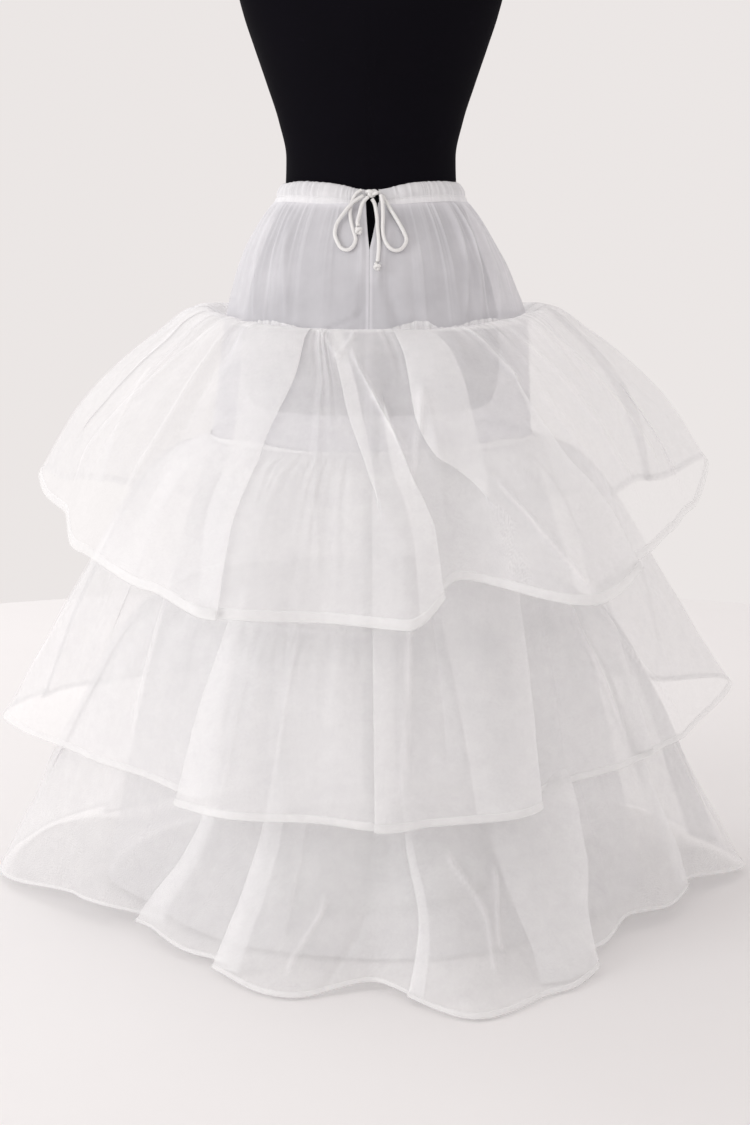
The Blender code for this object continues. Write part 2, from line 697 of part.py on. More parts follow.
def main():
    """Build every piece of the skirt and of the form that carries it."""
    clear_scene()
    add_torso()
    add_stand()
    add_casing()
    add_yoke()
    add_under_layer()
    for tier in TIERS:
        add_tier(tier)
    add_drawcord()


main()
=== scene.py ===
import math

import bmesh
import bpy
import numpy as np
from mathutils import Matrix, Vector, noise


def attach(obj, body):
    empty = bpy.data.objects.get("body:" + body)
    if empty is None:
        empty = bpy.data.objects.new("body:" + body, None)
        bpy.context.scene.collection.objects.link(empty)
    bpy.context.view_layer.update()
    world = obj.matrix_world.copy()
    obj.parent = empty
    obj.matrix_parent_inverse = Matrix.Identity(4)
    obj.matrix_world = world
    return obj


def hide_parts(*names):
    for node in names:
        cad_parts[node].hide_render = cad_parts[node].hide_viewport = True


# net underskirt with three flounces on a black dress form
# metres, front is -Y, angles in degrees round the waist from 0 at the front, growing towards +X
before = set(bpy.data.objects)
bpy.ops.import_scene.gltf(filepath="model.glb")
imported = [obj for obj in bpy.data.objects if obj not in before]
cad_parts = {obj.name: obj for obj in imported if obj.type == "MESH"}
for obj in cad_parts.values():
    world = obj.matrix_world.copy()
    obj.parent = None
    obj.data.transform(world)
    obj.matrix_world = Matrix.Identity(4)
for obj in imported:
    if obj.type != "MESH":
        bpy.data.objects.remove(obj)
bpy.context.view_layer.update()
print("frame loaded:", len(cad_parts), "nodes")


# camera at the photo's angle
cameraView = {"place": (0.0056, -3.389, 1.0886), "tiltDown": 10.39, "lens": 76.8}


def addCamera():
    data = bpy.data.cameras.new("photoCamera")
    data.lens = cameraView["lens"]
    data.clip_end = 60
    camera = bpy.data.objects.new("photoCamera", data)
    camera.location = cameraView["place"]
    camera.rotation_euler = (math.radians(90 - cameraView["tiltDown"]), 0, 0)
    bpy.context.scene.collection.objects.link(camera)
    bpy.context.scene.camera = camera


addCamera()

# the sheer layers lie many deep, and these keep them quick to light
cycles = bpy.context.scene.cycles
cycles.transparent_max_bounces = 20
cycles.diffuse_bounces = 3
cycles.light_sampling_threshold = 0.3
bpy.context.scene.view_settings.view_transform = "Standard"
print("camera placed")


# sections of the casing, the yoke and the form: height, half width, front depth, back depth
body = {
    # how much fuller the yoke hangs on its +X side, by height
    "yokeFuller": [(0.643, 0.0), (0.730, 0.008), (0.813, 0.0135), (0.829, 0.0130), (0.8638, 0.0086),
                   (0.8918, 0.0060), (0.9196, 0.0020), (0.9818, 0.0)],
    "casing": [(1.0035, 0.1208, 0.0903, 0.0868), (0.9935, 0.1282, 0.0962, 0.0927),
               (0.983, 0.1325, 0.0985, 0.0955)],
    "yoke": [(0.9818, 0.1332, 0.0992, 0.0962), (0.955, 0.1530, 0.1180, 0.1160),
             (0.910, 0.1780, 0.1430, 0.1430), (0.860, 0.1950, 0.1620, 0.1640),
             (0.813, 0.2060, 0.1790, 0.1830), (0.730, 0.2160, 0.1980, 0.2030),
             (0.643, 0.2270, 0.2180, 0.2220)],
    "torso": [(0.6900, 0.130, 0.100, 0.108), (0.6935, 0.156, 0.124, 0.134),
              (0.7050, 0.172, 0.138, 0.150), (0.7500, 0.181, 0.146, 0.158),
              (0.8050, 0.180, 0.140, 0.155), (0.8600, 0.170, 0.127, 0.138),
              (0.9200, 0.150, 0.110, 0.114), (0.9650, 0.1325, 0.097, 0.096),
              (1.0040, 0.1190, 0.0885, 0.0850), (1.0400, 0.1180, 0.0880, 0.0830),
              (1.0900, 0.1280, 0.096, 0.088), (1.1400, 0.1440, 0.110, 0.096),
              (1.1900, 0.1610, 0.124, 0.103), (1.2340, 0.1755, 0.122, 0.107),
              (1.2700, 0.1840, 0.109, 0.110), (1.3100, 0.1870, 0.094, 0.108),
              (1.3450, 0.1820, 0.082, 0.098), (1.3720, 0.1580, 0.070, 0.085),
              (1.3950, 0.1120, 0.060, 0.070), (1.4200, 0.0640, 0.052, 0.057),
              (1.4700, 0.0560, 0.050, 0.051)],
}
# walls and gaps of the solids
netWall = 0.0012
yokeWall = 0.0012
seamGap = 0.0003
mergeDistance = 1e-6
noiseSteps = (7.3, 3.1, 5.7)  # each seed moves this far through the noise


# sums that the pieces share
def ease(share):
    share = np.clip(share, 0.0, 1.0)
    return share * share * (3 - 2 * share)


def signedTurn(angle, centre):
    return (angle - centre + 180) % 360 - 180


def throughRows(places, values, at):
    # smooth curve through a table's rows that never overshoots them
    places, values = np.asarray(places, float), np.asarray(values, float)
    gaps = np.diff(places)
    rise = np.diff(values) / gaps
    slope = np.concatenate((rise[:1], np.zeros(len(rise) - 1), rise[-1:]))
    both = rise[:-1] * rise[1:]
    mean = 2 * both / np.where(both > 0, rise[:-1] + rise[1:], 1)
    slope[1:-1] = np.where(both > 0, mean, 0)
    at = np.clip(at, places[0], places[-1])
    row = np.clip(np.searchsorted(places, at, side="right") - 1, 0, len(gaps) - 1)
    t = (at - places[row]) / gaps[row]
    a, b = values[row], values[row + 1]
    m, n = slope[row] * gaps[row], slope[row + 1] * gaps[row]
    return (2*t**3 - 3*t**2 + 1) * a + (t**3 - 2*t**2 + t) * m + (3*t**2 - 2*t**3) * b + (t**3 - t**2) * n


def ovalRadius(halfWidth, depth, angle):
    turn = np.radians(angle)
    return halfWidth * depth / np.hypot(halfWidth * np.cos(turn), depth * np.sin(turn))


def bodyRadius(rows, height, angle):
    ordered = sorted(rows)
    heights = [row[0] for row in ordered]
    half, front, back = (throughRows(heights, [row[k] for row in ordered], height) for k in (1, 2, 3))
    depth = np.where(np.cos(np.radians(angle)) > 0, front, back)
    radius = ovalRadius(half, depth, angle)
    if rows is body["yoke"]:
        towardsSide = np.clip(np.sin(np.radians(angle)), 0, 1) ** 1.5
        radius = radius + throughRows(*zip(*body["yokeFuller"]), height) * towardsSide
    return radius


def polar(angle, radius, height):
    turn = np.radians(angle)
    return np.stack(np.broadcast_arrays(radius * np.sin(turn), -radius * np.cos(turn), height), axis=-1)


def surfaceNormals(points):
    down = np.gradient(points, axis=0)
    along = np.gradient(points, axis=1)
    normal = np.cross(along, -down)
    return normal / np.maximum(np.linalg.norm(normal, axis=-1, keepdims=True), 1e-12)


def noiseGrid(points, size, seed):
    shift = Vector([seed * step for step in noiseSteps])
    flat = points.reshape(-1, 3) / size
    values = [noise.noise(Vector(p) + shift) for p in flat.tolist()]
    return np.array(values).reshape(points.shape[:-1])


def runLength(points, axis):
    steps = np.linalg.norm(np.diff(points, axis=axis), axis=-1)
    return np.concatenate((np.zeros_like(np.take(steps, [0], axis)), np.cumsum(steps, axis)), axis)


# a grid bent into a sheet: points[row][column], rows run downwards, columns towards +X at the front
def bendGrid(name, points, uvMap, wraps=False, density=None):
    rows, columns = points.shape[0] - 1, points.shape[1] - 1
    mesh = bpy.data.meshes.new(name)
    bm = bmesh.new()
    bmesh.ops.create_grid(bm, x_segments=columns, y_segments=rows, size=1.0)
    uvLayer = bm.loops.layers.uv.new("clothUv")
    weight = bm.verts.layers.float.new("layers")
    place = {}
    for vert in bm.verts:
        column = round((vert.co.x + 1) / 2 * columns)
        row = round((1 - vert.co.y) / 2 * rows)
        place[vert.index] = (row, column)
    for face in bm.faces:
        for loop in face.loops:
            loop[uvLayer].uv = uvMap[place[loop.vert.index]]
    for vert in bm.verts:
        spot = place[vert.index]
        vert.co = points[spot]
        vert[weight] = 1.0 if density is None else density[spot]
    if wraps:
        bmesh.ops.remove_doubles(bm, verts=bm.verts, dist=mergeDistance)
    return mesh, bm


def finishPiece(name, mesh, bm, material, replaced=()):
    bm.to_mesh(mesh)
    bm.free()
    mesh.shade_smooth()
    mesh.materials.append(material)
    piece = bpy.data.objects.new(name, mesh)
    bpy.context.scene.collection.objects.link(piece)
    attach(piece, "root")
    if replaced:
        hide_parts(*replaced)
    return piece


# shader node groups: each puts out only masks and heights
def newGroup(name, inputs, outputs):
    group = bpy.data.node_groups.new(name, "ShaderNodeTree")
    for label, value in inputs:
        socket = group.interface.new_socket(name=label, in_out="INPUT", socket_type="NodeSocketFloat")
        socket.default_value = value
    for label in outputs:
        group.interface.new_socket(name=label, in_out="OUTPUT", socket_type="NodeSocketFloat")
    return group, group.nodes.new("NodeGroupInput"), group.nodes.new("NodeGroupOutput")


def mathNode(tree, operation, first, second=None):
    node = tree.nodes.new("ShaderNodeMath")
    node.operation = operation
    for socket, value in zip(node.inputs, (first, second)):
        if isinstance(value, (int, float)):
            socket.default_value = value
        elif value is not None:
            tree.links.new(value, socket)
    return node.outputs[0]


def rangeNode(tree, value, fromLow, fromHigh, toLow, toHigh):
    node = tree.nodes.new("ShaderNodeMapRange")
    node.inputs["From Min"].default_value = fromLow
    node.inputs["From Max"].default_value = fromHigh
    node.inputs["To Min"].default_value = toLow
    node.inputs["To Max"].default_value = toHigh
    tree.links.new(value, node.inputs["Value"])
    return node.outputs["Result"]


def makeNetWeave():
    # fine irregular net of threads round small holes, with denser and thinner clouds in it
    group, start, end = newGroup("netWeave", [("Holes", 620.0), ("Clouds", 14.0)], ["Thread", "Cloud"])
    coords = group.nodes.new("ShaderNodeTexCoord")
    holes = group.nodes.new("ShaderNodeTexVoronoi")
    holes.voronoi_dimensions = "2D"
    holes.feature = "DISTANCE_TO_EDGE"
    holes.inputs["Randomness"].default_value = 0.85
    group.links.new(coords.outputs["UV"], holes.inputs["Vector"])
    group.links.new(start.outputs["Holes"], holes.inputs["Scale"])
    thread = rangeNode(group, holes.outputs["Distance"], fromLow=0.10, fromHigh=0.32, toLow=1.0, toHigh=0.0)
    group.links.new(thread, end.inputs["Thread"])
    cloud = group.nodes.new("ShaderNodeTexNoise")
    cloud.inputs["Detail"].default_value = 3.0
    cloud.inputs["Roughness"].default_value = 0.62
    group.links.new(coords.outputs["Object"], cloud.inputs["Vector"])
    group.links.new(start.outputs["Clouds"], cloud.inputs["Scale"])
    group.links.new(cloud.outputs["Fac"], end.inputs["Cloud"])
    return group


def makeClothWeave():
    # plain weave: crossing threads as two fine waves, and slubs along them
    group, start, end = newGroup("clothWeave", [("Threads", 2400.0), ("Slubs", 60.0)], ["Height", "Slub"])
    coords = group.nodes.new("ShaderNodeTexCoord")
    apart = group.nodes.new("ShaderNodeSeparateXYZ")
    group.links.new(coords.outputs["UV"], apart.inputs[0])
    waves = []
    for axis in ("X", "Y"):
        turn = mathNode(group, "MULTIPLY", apart.outputs[axis], start.outputs["Threads"])
        waves.append(mathNode(group, "SINE", turn))
    height = mathNode(group, "MULTIPLY", waves[0], waves[1])
    group.links.new(height, end.inputs["Height"])
    slub = group.nodes.new("ShaderNodeTexNoise")
    slub.inputs["Detail"].default_value = 4.0
    stretch = group.nodes.new("ShaderNodeMapping")
    stretch.inputs["Scale"].default_value = (1.0, 0.12, 1.0)
    group.links.new(coords.outputs["UV"], stretch.inputs["Vector"])
    group.links.new(stretch.outputs[0], slub.inputs["Vector"])
    group.links.new(start.outputs["Slubs"], slub.inputs["Scale"])
    group.links.new(slub.outputs["Fac"], end.inputs["Slub"])
    return group


def makeFineGrain():
    # knitted or moulded grain on the object's own coordinates
    group, start, end = newGroup("fineGrain", [("Scale", 900.0), ("Patches", 9.0)], ["Grain", "Patch"])
    coords = group.nodes.new("ShaderNodeTexCoord")
    for scale, detail, label in (("Scale", 2.0, "Grain"), ("Patches", 4.0, "Patch")):
        tone = group.nodes.new("ShaderNodeTexNoise")
        tone.inputs["Detail"].default_value = detail
        group.links.new(coords.outputs["Object"], tone.inputs["Vector"])
        group.links.new(start.outputs[scale], tone.inputs["Scale"])
        group.links.new(tone.outputs["Fac"], end.inputs[label])
    return group


netWeave = makeNetWeave()
clothWeave = makeClothWeave()
fineGrain = makeFineGrain()


def newMaterial(name, look):
    material = bpy.data.materials.new(name)
    material.use_nodes = True
    shader = material.node_tree.nodes["Principled BSDF"]
    for label, value in look.items():
        shader.inputs[label].default_value = value
    return material, material.node_tree, shader


def placeGroup(tree, group, values):
    node = tree.nodes.new("ShaderNodeGroup")
    node.node_tree = group
    for label, value in values.items():
        node.inputs[label].default_value = value
    return node


def twoTones(tree, mask, low, high):
    mix = tree.nodes.new("ShaderNodeMix")
    mix.data_type = "RGBA"
    mix.inputs["A"].default_value = (*low, 1)
    mix.inputs["B"].default_value = (*high, 1)
    tree.links.new(mask, mix.inputs["Factor"])
    return mix.outputs["Result"]


def addBump(tree, shader, height, distance, strength):
    bump = tree.nodes.new("ShaderNodeBump")
    bump.inputs["Distance"].default_value = distance
    bump.inputs["Strength"].default_value = strength
    tree.links.new(height, bump.inputs["Height"])
    tree.links.new(bump.outputs[0], shader.inputs["Normal"])


# sheer cloth: cover is the share of light that one flat layer stops, "layers" how many lie at a spot
def makeSheer(name, look, cover, low, high, holes, clouds, threadRange, cloudRange):
    material, tree, shader = newMaterial(name, look)
    weave = placeGroup(tree, netWeave, {"Holes": holes, "Clouds": clouds})
    layers = tree.nodes.new("ShaderNodeAttribute")
    layers.attribute_name = "layers"
    through = mathNode(tree, "POWER", 1 - cover, layers.outputs["Fac"])
    stopped = mathNode(tree, "SUBTRACT", 1.0, through)
    thread = rangeNode(tree, weave.outputs["Thread"], 0, 1, *threadRange)
    cloud = rangeNode(tree, weave.outputs["Cloud"], 0.3, 0.7, *cloudRange)
    alpha = mathNode(tree, "MULTIPLY", mathNode(tree, "MULTIPLY", stopped, thread), cloud)
    tree.links.new(mathNode(tree, "MINIMUM", alpha, 1.0), shader.inputs["Alpha"])
    tree.links.new(twoTones(tree, weave.outputs["Cloud"], low, high), shader.inputs["Base Color"])
    return material


def makeWoven(name, look, low, high, threads, slubs, relief):
    material, tree, shader = newMaterial(name, look)
    weave = placeGroup(tree, clothWeave, {"Threads": threads, "Slubs": slubs})
    tree.links.new(twoTones(tree, weave.outputs["Slub"], low, high), shader.inputs["Base Color"])
    addBump(tree, shader, weave.outputs["Height"], 0.0001, relief)
    return material


def makeGrained(name, look, low, high, scale, patches, relief, roughRange):
    material, tree, shader = newMaterial(name, look)
    grain = placeGroup(tree, fineGrain, {"Scale": scale, "Patches": patches})
    tree.links.new(twoTones(tree, grain.outputs["Patch"], low, high), shader.inputs["Base Color"])
    rough = rangeNode(tree, grain.outputs["Patch"], 0.3, 0.7, *roughRange)
    tree.links.new(rough, shader.inputs["Roughness"])
    addBump(tree, shader, grain.outputs["Grain"], 0.0002, relief)
    return material


netLook = {"Roughness": 0.62, "Specular IOR Level": 0.35, "Sheen Weight": 0.25, "Sheen Roughness": 0.4}
netCloth = makeSheer("stiffNet", netLook, cover=0.37, low=(0.93, 0.93, 0.945), high=(0.985, 0.98, 0.985),
                     holes=620.0, clouds=22.0, threadRange=(0.80, 1.12), cloudRange=(0.93, 1.07))
underCloth = makeSheer("plainNet", netLook, cover=0.40, low=(0.91, 0.905, 0.93), high=(0.97, 0.965, 0.975),
                       holes=620.0, clouds=18.0, threadRange=(0.80, 1.12), cloudRange=(0.94, 1.06))
yokeCloth = makeSheer("yokeLawn", {"Roughness": 0.75, "Specular IOR Level": 0.25, "Sheen Weight": 0.2},
                      cover=0.66, low=(0.82, 0.815, 0.86), high=(0.88, 0.875, 0.91),
                      holes=1900.0, clouds=16.0, threadRange=(0.96, 1.03), cloudRange=(0.95, 1.05))
casingCloth = makeSheer("casingLawn", {"Roughness": 0.65, "Specular IOR Level": 0.3, "Sheen Weight": 0.25},
                        cover=0.80, low=(0.82, 0.82, 0.85), high=(0.92, 0.915, 0.93),
                        holes=1900.0, clouds=30.0, threadRange=(0.97, 1.03), cloudRange=(0.97, 1.03))
satinTape = makeSheer("satinTape", {"Roughness": 0.38, "Specular IOR Level": 0.5, "Sheen Weight": 0.3},
                      cover=0.36, low=(0.95, 0.95, 0.955), high=(0.99, 0.99, 0.99),
                      holes=1500.0, clouds=40.0, threadRange=(0.94, 1.06), cloudRange=(0.94, 1.06))
stitchThread = makeWoven("stitchThread", {"Roughness": 0.6}, low=(0.86, 0.86, 0.87), high=(0.94, 0.94, 0.94),
                         threads=5200.0, slubs=300.0, relief=0.3)
cordCotton = makeWoven("cordCotton", {"Roughness": 0.7, "Sheen Weight": 0.3},
                       low=(0.80, 0.79, 0.78), high=(0.95, 0.945, 0.935),
                       threads=5200.0, slubs=240.0, relief=0.5)
formJersey = makeGrained("formJersey", {"Specular IOR Level": 0.05},
                         low=(0.0030, 0.0026, 0.0042), high=(0.0055, 0.0048, 0.0075),
                         scale=1500.0, patches=14.0, relief=0.35, roughRange=(0.85, 0.98))
formPlastic = makeGrained("formPlastic", {"Specular IOR Level": 0.4},
                          low=(0.010, 0.010, 0.011), high=(0.020, 0.020, 0.021),
                          scale=1200.0, patches=20.0, relief=0.10, roughRange=(0.36, 0.50))
standPaint = makeGrained("standPaint", {"Specular IOR Level": 0.5, "Coat Weight": 0.2},
                         low=(0.78, 0.78, 0.77), high=(0.84, 0.84, 0.83),
                         scale=800.0, patches=30.0, relief=0.08, roughRange=(0.30, 0.46))
print("materials made")


# the drawcord: routes as x, height and lift off the cloth behind, as in the solids
drawcord = {
    "diameter": 0.005,
    "sides": 28,
    "ringStep": 0.0006,
    "strands": 8,
    "braidPitch": 0.0042,
    "braidDepth": 0.30,
    "braidMean": 0.7,  # the bulge that keeps the stated diameter
    "overRise": 0.45,
    "pathStep": 4,
    "routes": {
        "bowLoopLeft": [
            (-0.0105, 0.9912, 0.0095), (-0.0160, 0.9880, 0.0118), (-0.0242, 0.9822, 0.0128),
            (-0.0354, 0.9696, 0.0100), (-0.0457, 0.9546, 0.0065), (-0.0486, 0.9421, 0.0058),
            (-0.0464, 0.9330, 0.0058), (-0.0404, 0.9231, 0.0058), (-0.0322, 0.9200, 0.0058),
            (-0.0257, 0.9231, 0.0058), (-0.0214, 0.9297, 0.0058), (-0.0207, 0.9364, 0.0058),
            (-0.0232, 0.9447, 0.0056), (-0.0258, 0.9538, 0.0054), (-0.0276, 0.9630, 0.0054),
            (-0.0278, 0.9713, 0.0056), (-0.0256, 0.9830, 0.0056), (-0.0200, 0.9935, 0.0058),
            (-0.0125, 0.9985, 0.0062)],
        "bowTailLeft": [
            (-0.0038, 0.9898, 0.0104), (-0.0088, 0.9845, 0.0118), (-0.0126, 0.9780, 0.0122),
            (-0.0152, 0.9679, 0.0105), (-0.0180, 0.9571, 0.0105), (-0.0172, 0.9515, 0.0112)],
        "bowLoopRight": [
            (0.0135, 0.9925, 0.0110), (0.0155, 0.9830, 0.0120), (0.0163, 0.9696, 0.0095),
            (0.0162, 0.9580, 0.0072), (0.0160, 0.9464, 0.0060), (0.0174, 0.9364, 0.0058),
            (0.0215, 0.9272, 0.0058), (0.0274, 0.9214, 0.0058), (0.0342, 0.9193, 0.0058),
            (0.0411, 0.9214, 0.0058), (0.0464, 0.9280, 0.0058), (0.0476, 0.9347, 0.0058),
            (0.0437, 0.9447, 0.0058), (0.0361, 0.9580, 0.0058), (0.0275, 0.9713, 0.0055),
            (0.0205, 0.9830, 0.0052), (0.0155, 0.9905, 0.0050)],
        "bowTailRight": [
            (0.0015, 0.9868, 0.0080), (0.0048, 0.9810, 0.0075), (0.0066, 0.9738, 0.0068),
            (0.0084, 0.9613, 0.0060), (0.0090, 0.9489, 0.0056), (0.0102, 0.9364, 0.0056),
            (0.0106, 0.9239, 0.0056), (0.0098, 0.9131, 0.0056), (0.0090, 0.9050, 0.0056)],
    },
    "bridge": {"fromAngle": -3.6, "toAngle": 7.6, "height": 0.9945, "rings": 30},
    "bowKnot": {"centre": (0.001, -0.1036, 0.9945), "reach": (0.0068, 0.0026, 0.0038), "rings": 90},
    "endKnot": {"halfLength": 0.0066, "coilRadius": 0.0026, "turns": 1.75, "gap": 0.0003, "rings": 70,
                "endShare": 0.06, "roundness": 0.35},
}


def straightSections(rows, height):
    # the solids' own sections, straight from row to row
    ordered = sorted(rows)
    heights = [row[0] for row in ordered]
    return [float(np.interp(height, heights, [row[k] for row in ordered])) for k in (1, 2)]


def onYoke(x, height, lift):
    rows = body["casing"] if height > body["casing"][-1][0] else body["yoke"]
    half, front = straightSections(rows, height)
    return Vector((x, -front * math.sqrt(1 - (x / half) ** 2) - lift, height))


def smoothRoute(points, step):
    # even steps along a smooth curve through the route's points
    ends = [points[0] * 2 - points[1]] + list(points) + [points[-1] * 2 - points[-2]]
    fine = []
    pieces = 12
    for a, b, c, d in zip(ends, ends[1:], ends[2:], ends[3:]):
        for piece in range(pieces):
            t = piece / pieces
            fine.append(0.5 * (2 * b + (c - a) * t + (2 * a - 5 * b + 4 * c - d) * t ** 2
                               + (3 * b - 3 * c + d - a) * t ** 3))
    fine.append(points[-1])
    line = np.array([tuple(p) for p in fine])
    run = np.concatenate(([0.0], np.cumsum(np.linalg.norm(np.diff(line, axis=0), axis=1))))
    marks = np.linspace(0, run[-1], max(round(run[-1] / step), 4) + 1)
    return np.stack([np.interp(marks, run, line[:, axis]) for axis in range(3)], axis=-1)


def braidedTube(name, line, replaced, closed=False):
    # a grid rolled round the line, its radius following the over and under of the braid
    sides = drawcord["sides"]
    radius = drawcord["diameter"] / 2
    heading = np.gradient(line, axis=0)
    heading /= np.linalg.norm(heading, axis=1, keepdims=True)
    across = Vector(heading[0]).orthogonal().normalized()
    frames = []
    for ahead in heading:
        ahead = Vector(ahead)
        across = (across - ahead * across.dot(ahead)).normalized()
        frames.append((across.copy(), ahead.cross(across)))
    run = np.concatenate(([0.0], np.cumsum(np.linalg.norm(np.diff(line, axis=0), axis=1))))
    turn = np.linspace(0, 2 * math.pi, sides + 1)
    around = turn[None, :] * drawcord["strands"] / (2 * math.pi)
    along = run[:, None] / drawcord["braidPitch"] * 2
    first, second = around + along, around - along
    over = (np.floor(first) + np.floor(second)) % 2
    bulgeA, bulgeB = np.abs(np.sin(math.pi * first)), np.abs(np.sin(math.pi * second))
    rise = drawcord["overRise"]
    bulge = np.maximum(bulgeA * (1 - rise + rise * over), bulgeB * (1 - rise * over))
    thick = radius * (1 + drawcord["braidDepth"] * (bulge - drawcord["braidMean"]))
    sideways = np.array([[tuple(u), tuple(v)] for u, v in frames])
    points = (line[:, None, :] + thick[..., None] * (np.cos(turn)[None, :, None] * sideways[:, None, 0, :]
                                                     + np.sin(turn)[None, :, None] * sideways[:, None, 1, :]))
    uvMap = np.stack(np.broadcast_arrays(turn[None, :] * radius, run[:, None]), axis=-1)
    mesh, bm = bendGrid(name, points, uvMap, wraps=True)
    if not closed:
        bmesh.ops.holes_fill(bm, edges=bm.edges, sides=sides)
    bmesh.ops.recalc_face_normals(bm, faces=bm.faces)
    return finishPiece(name, mesh, bm, cordCotton, replaced)


def addDrawcord():
    step = drawcord["ringStep"]
    nodes = {"bowLoopLeft": "cord_loop_left", "bowTailLeft": "cord_tail_left",
             "bowLoopRight": "cord_loop_right", "bowTailRight": "cord_tail_right"}
    lines = {name: smoothRoute([onYoke(*row) for row in rows], step)
             for name, rows in drawcord["routes"].items()}
    cords = {name: braidedTube(name, line, (nodes[name],)) for name, line in lines.items()}

    # the stretch across the slit, inside the casing at both ends
    bridge = drawcord["bridge"]
    angles = np.linspace(bridge["fromAngle"], bridge["toAngle"], bridge["rings"])
    half, front = straightSections(body["casing"], bridge["height"])
    line = polar(angles, ovalRadius(half, front, 0), bridge["height"])
    braidedTube("bowBridge", line, ("cord_bridge",))

    # the bow's knot: the cord runs round itself three times
    knot = drawcord["bowKnot"]
    turn = np.linspace(0, 2 * math.pi, knot["rings"])
    weave = np.stack((np.sin(turn) + 2 * np.sin(2 * turn), -np.sin(3 * turn) * 3,
                      np.cos(turn) - 2 * np.cos(2 * turn)), axis=-1) / 3
    line = np.array(knot["centre"]) + weave * np.array(knot["reach"])
    bowKnot = braidedTube("bowKnot", line, ("bow_knot",), closed=True)

    # barrel knots on the tails' ends
    endKnot = drawcord["endKnot"]
    for name, node in (("bowTailLeft", "end_knot_left"), ("bowTailRight", "end_knot_right")):
        rows = drawcord["routes"][name]
        last, before = onYoke(*rows[-1]), onYoke(*rows[-2])
        heading = (last - before).normalized()
        centre = last + heading * (endKnot["halfLength"] + endKnot["gap"])
        side = heading.orthogonal().normalized()
        other = heading.cross(side)
        reach = endKnot["halfLength"] - drawcord["diameter"] / 2
        coil = []
        for share in np.linspace(0, 1, endKnot["rings"]):
            spin = share * endKnot["turns"] * 2 * math.pi
            inner = min(max(share, endKnot["endShare"]), 1 - endKnot["endShare"])
            swell = endKnot["coilRadius"] * math.sin(math.pi * inner) ** endKnot["roundness"]
            coil.append(centre + heading * reach * (2 * share - 1)
                        + (side * math.cos(spin) + other * math.sin(spin)) * swell)
        braidedTube(name.replace("Tail", "End"), np.array([tuple(p) for p in coil]), (node,))

    for name, piece in cords.items():
        line = lines[name]


addDrawcord()
print("drawcord tied")


# the dress form's cover and its stand
formLook = {"columns": 160, "rows": 220, "footRows": 14, "seamAngles": (0, 180, 90, -90),
            "seamDepth": 0.0006, "seamWidth": 0.0016}


def addTorso():
    rows = sorted(body["torso"])
    foot, footEnd, top = rows[0][0], rows[2][0], rows[-1][0]
    heights = np.concatenate((np.linspace(foot, footEnd, formLook["footRows"])[:-1],
                              np.linspace(footEnd, top, formLook["rows"])))[::-1]
    angles = np.linspace(-180, 180, formLook["columns"] + 1)
    radius = bodyRadius(rows, heights[:, None], angles[None, :])
    for seam in formLook["seamAngles"]:
        away = np.radians(signedTurn(angles, seam))[None, :] * radius
        radius = radius - formLook["seamDepth"] * np.exp(-(away / formLook["seamWidth"]) ** 2)
    points = polar(angles[None, :], radius, heights[:, None])
    uvMap = np.stack((runLength(points, 1), runLength(points, 0)), axis=-1)
    mesh, bm = bendGrid("formCover", points, uvMap, wraps=True)
    bmesh.ops.holes_fill(bm, edges=bm.edges, sides=formLook["columns"])
    finishPiece("formCover", mesh, bm, formJersey, ("form_torso",))


def dressNode(node, material):
    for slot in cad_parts[node].material_slots:
        slot.material = material


addTorso()
dressNode("form_neck_cap", formPlastic)
dressNode("form_pole", standPaint)
dressNode("form_base", standPaint)
print("dress form covered")


# the waist casing: a ruched tube of cloth, stitched down over the drawcord
waistCasing = {
    "columns": 760, "outerRows": 26, "innerRows": 8, "innerFoot": 0.12, "foldStart": 0.93,
    "startAngle": 6.6, "endAngle": 356.0, "wall": 0.0012, "foot": 0.9812, "top": 1.0038,
    "foldDepth": 0.0014, "folds": 84, "slant": 2.0, "waver": 0.6, "puff": 0.0016, "edgeRipple": 0.0007,
    "footFlare": 0.0010, "stitchUp": 0.27, "stitchPinch": 0.0013, "pinchReach": 0.055,
    "stitchLength": 0.0026, "stitchGap": 0.0010, "stitchThick": 0.0003,
    "cover": 0.78, "foldCover": 0.38, "footCover": 0.55, "flat": (1.02, 0.046),
    # how much the tube's top and foot rise or dip round the waist
    "topLift": [(-180, -0.002), (-130, 0.003), (-90, 0.0005), (-56, 0.0054), (-37, 0.004), (-24, 0.001),
                (-9, -0.0046), (0, -0.0056), (9, -0.0044), (24, 0.0005), (37, 0.0045), (56, 0.0056),
                (75, 0.004), (90, 0.0008), (132, 0.003), (180, -0.002)],
    "footLift": [(-180, -0.001), (-130, 0.0005), (-90, -0.0022), (-65, 0.0), (-37, -0.0018), (-15, -0.0046),
                 (0, -0.005), (13, -0.0032), (36, 0.0), (56, 0.001), (90, -0.0018), (132, 0.0005),
                 (180, -0.001)],
}


def casingLift(table, angle):
    return throughRows(*zip(*waistCasing[table]), signedTurn(angle, 0.0))


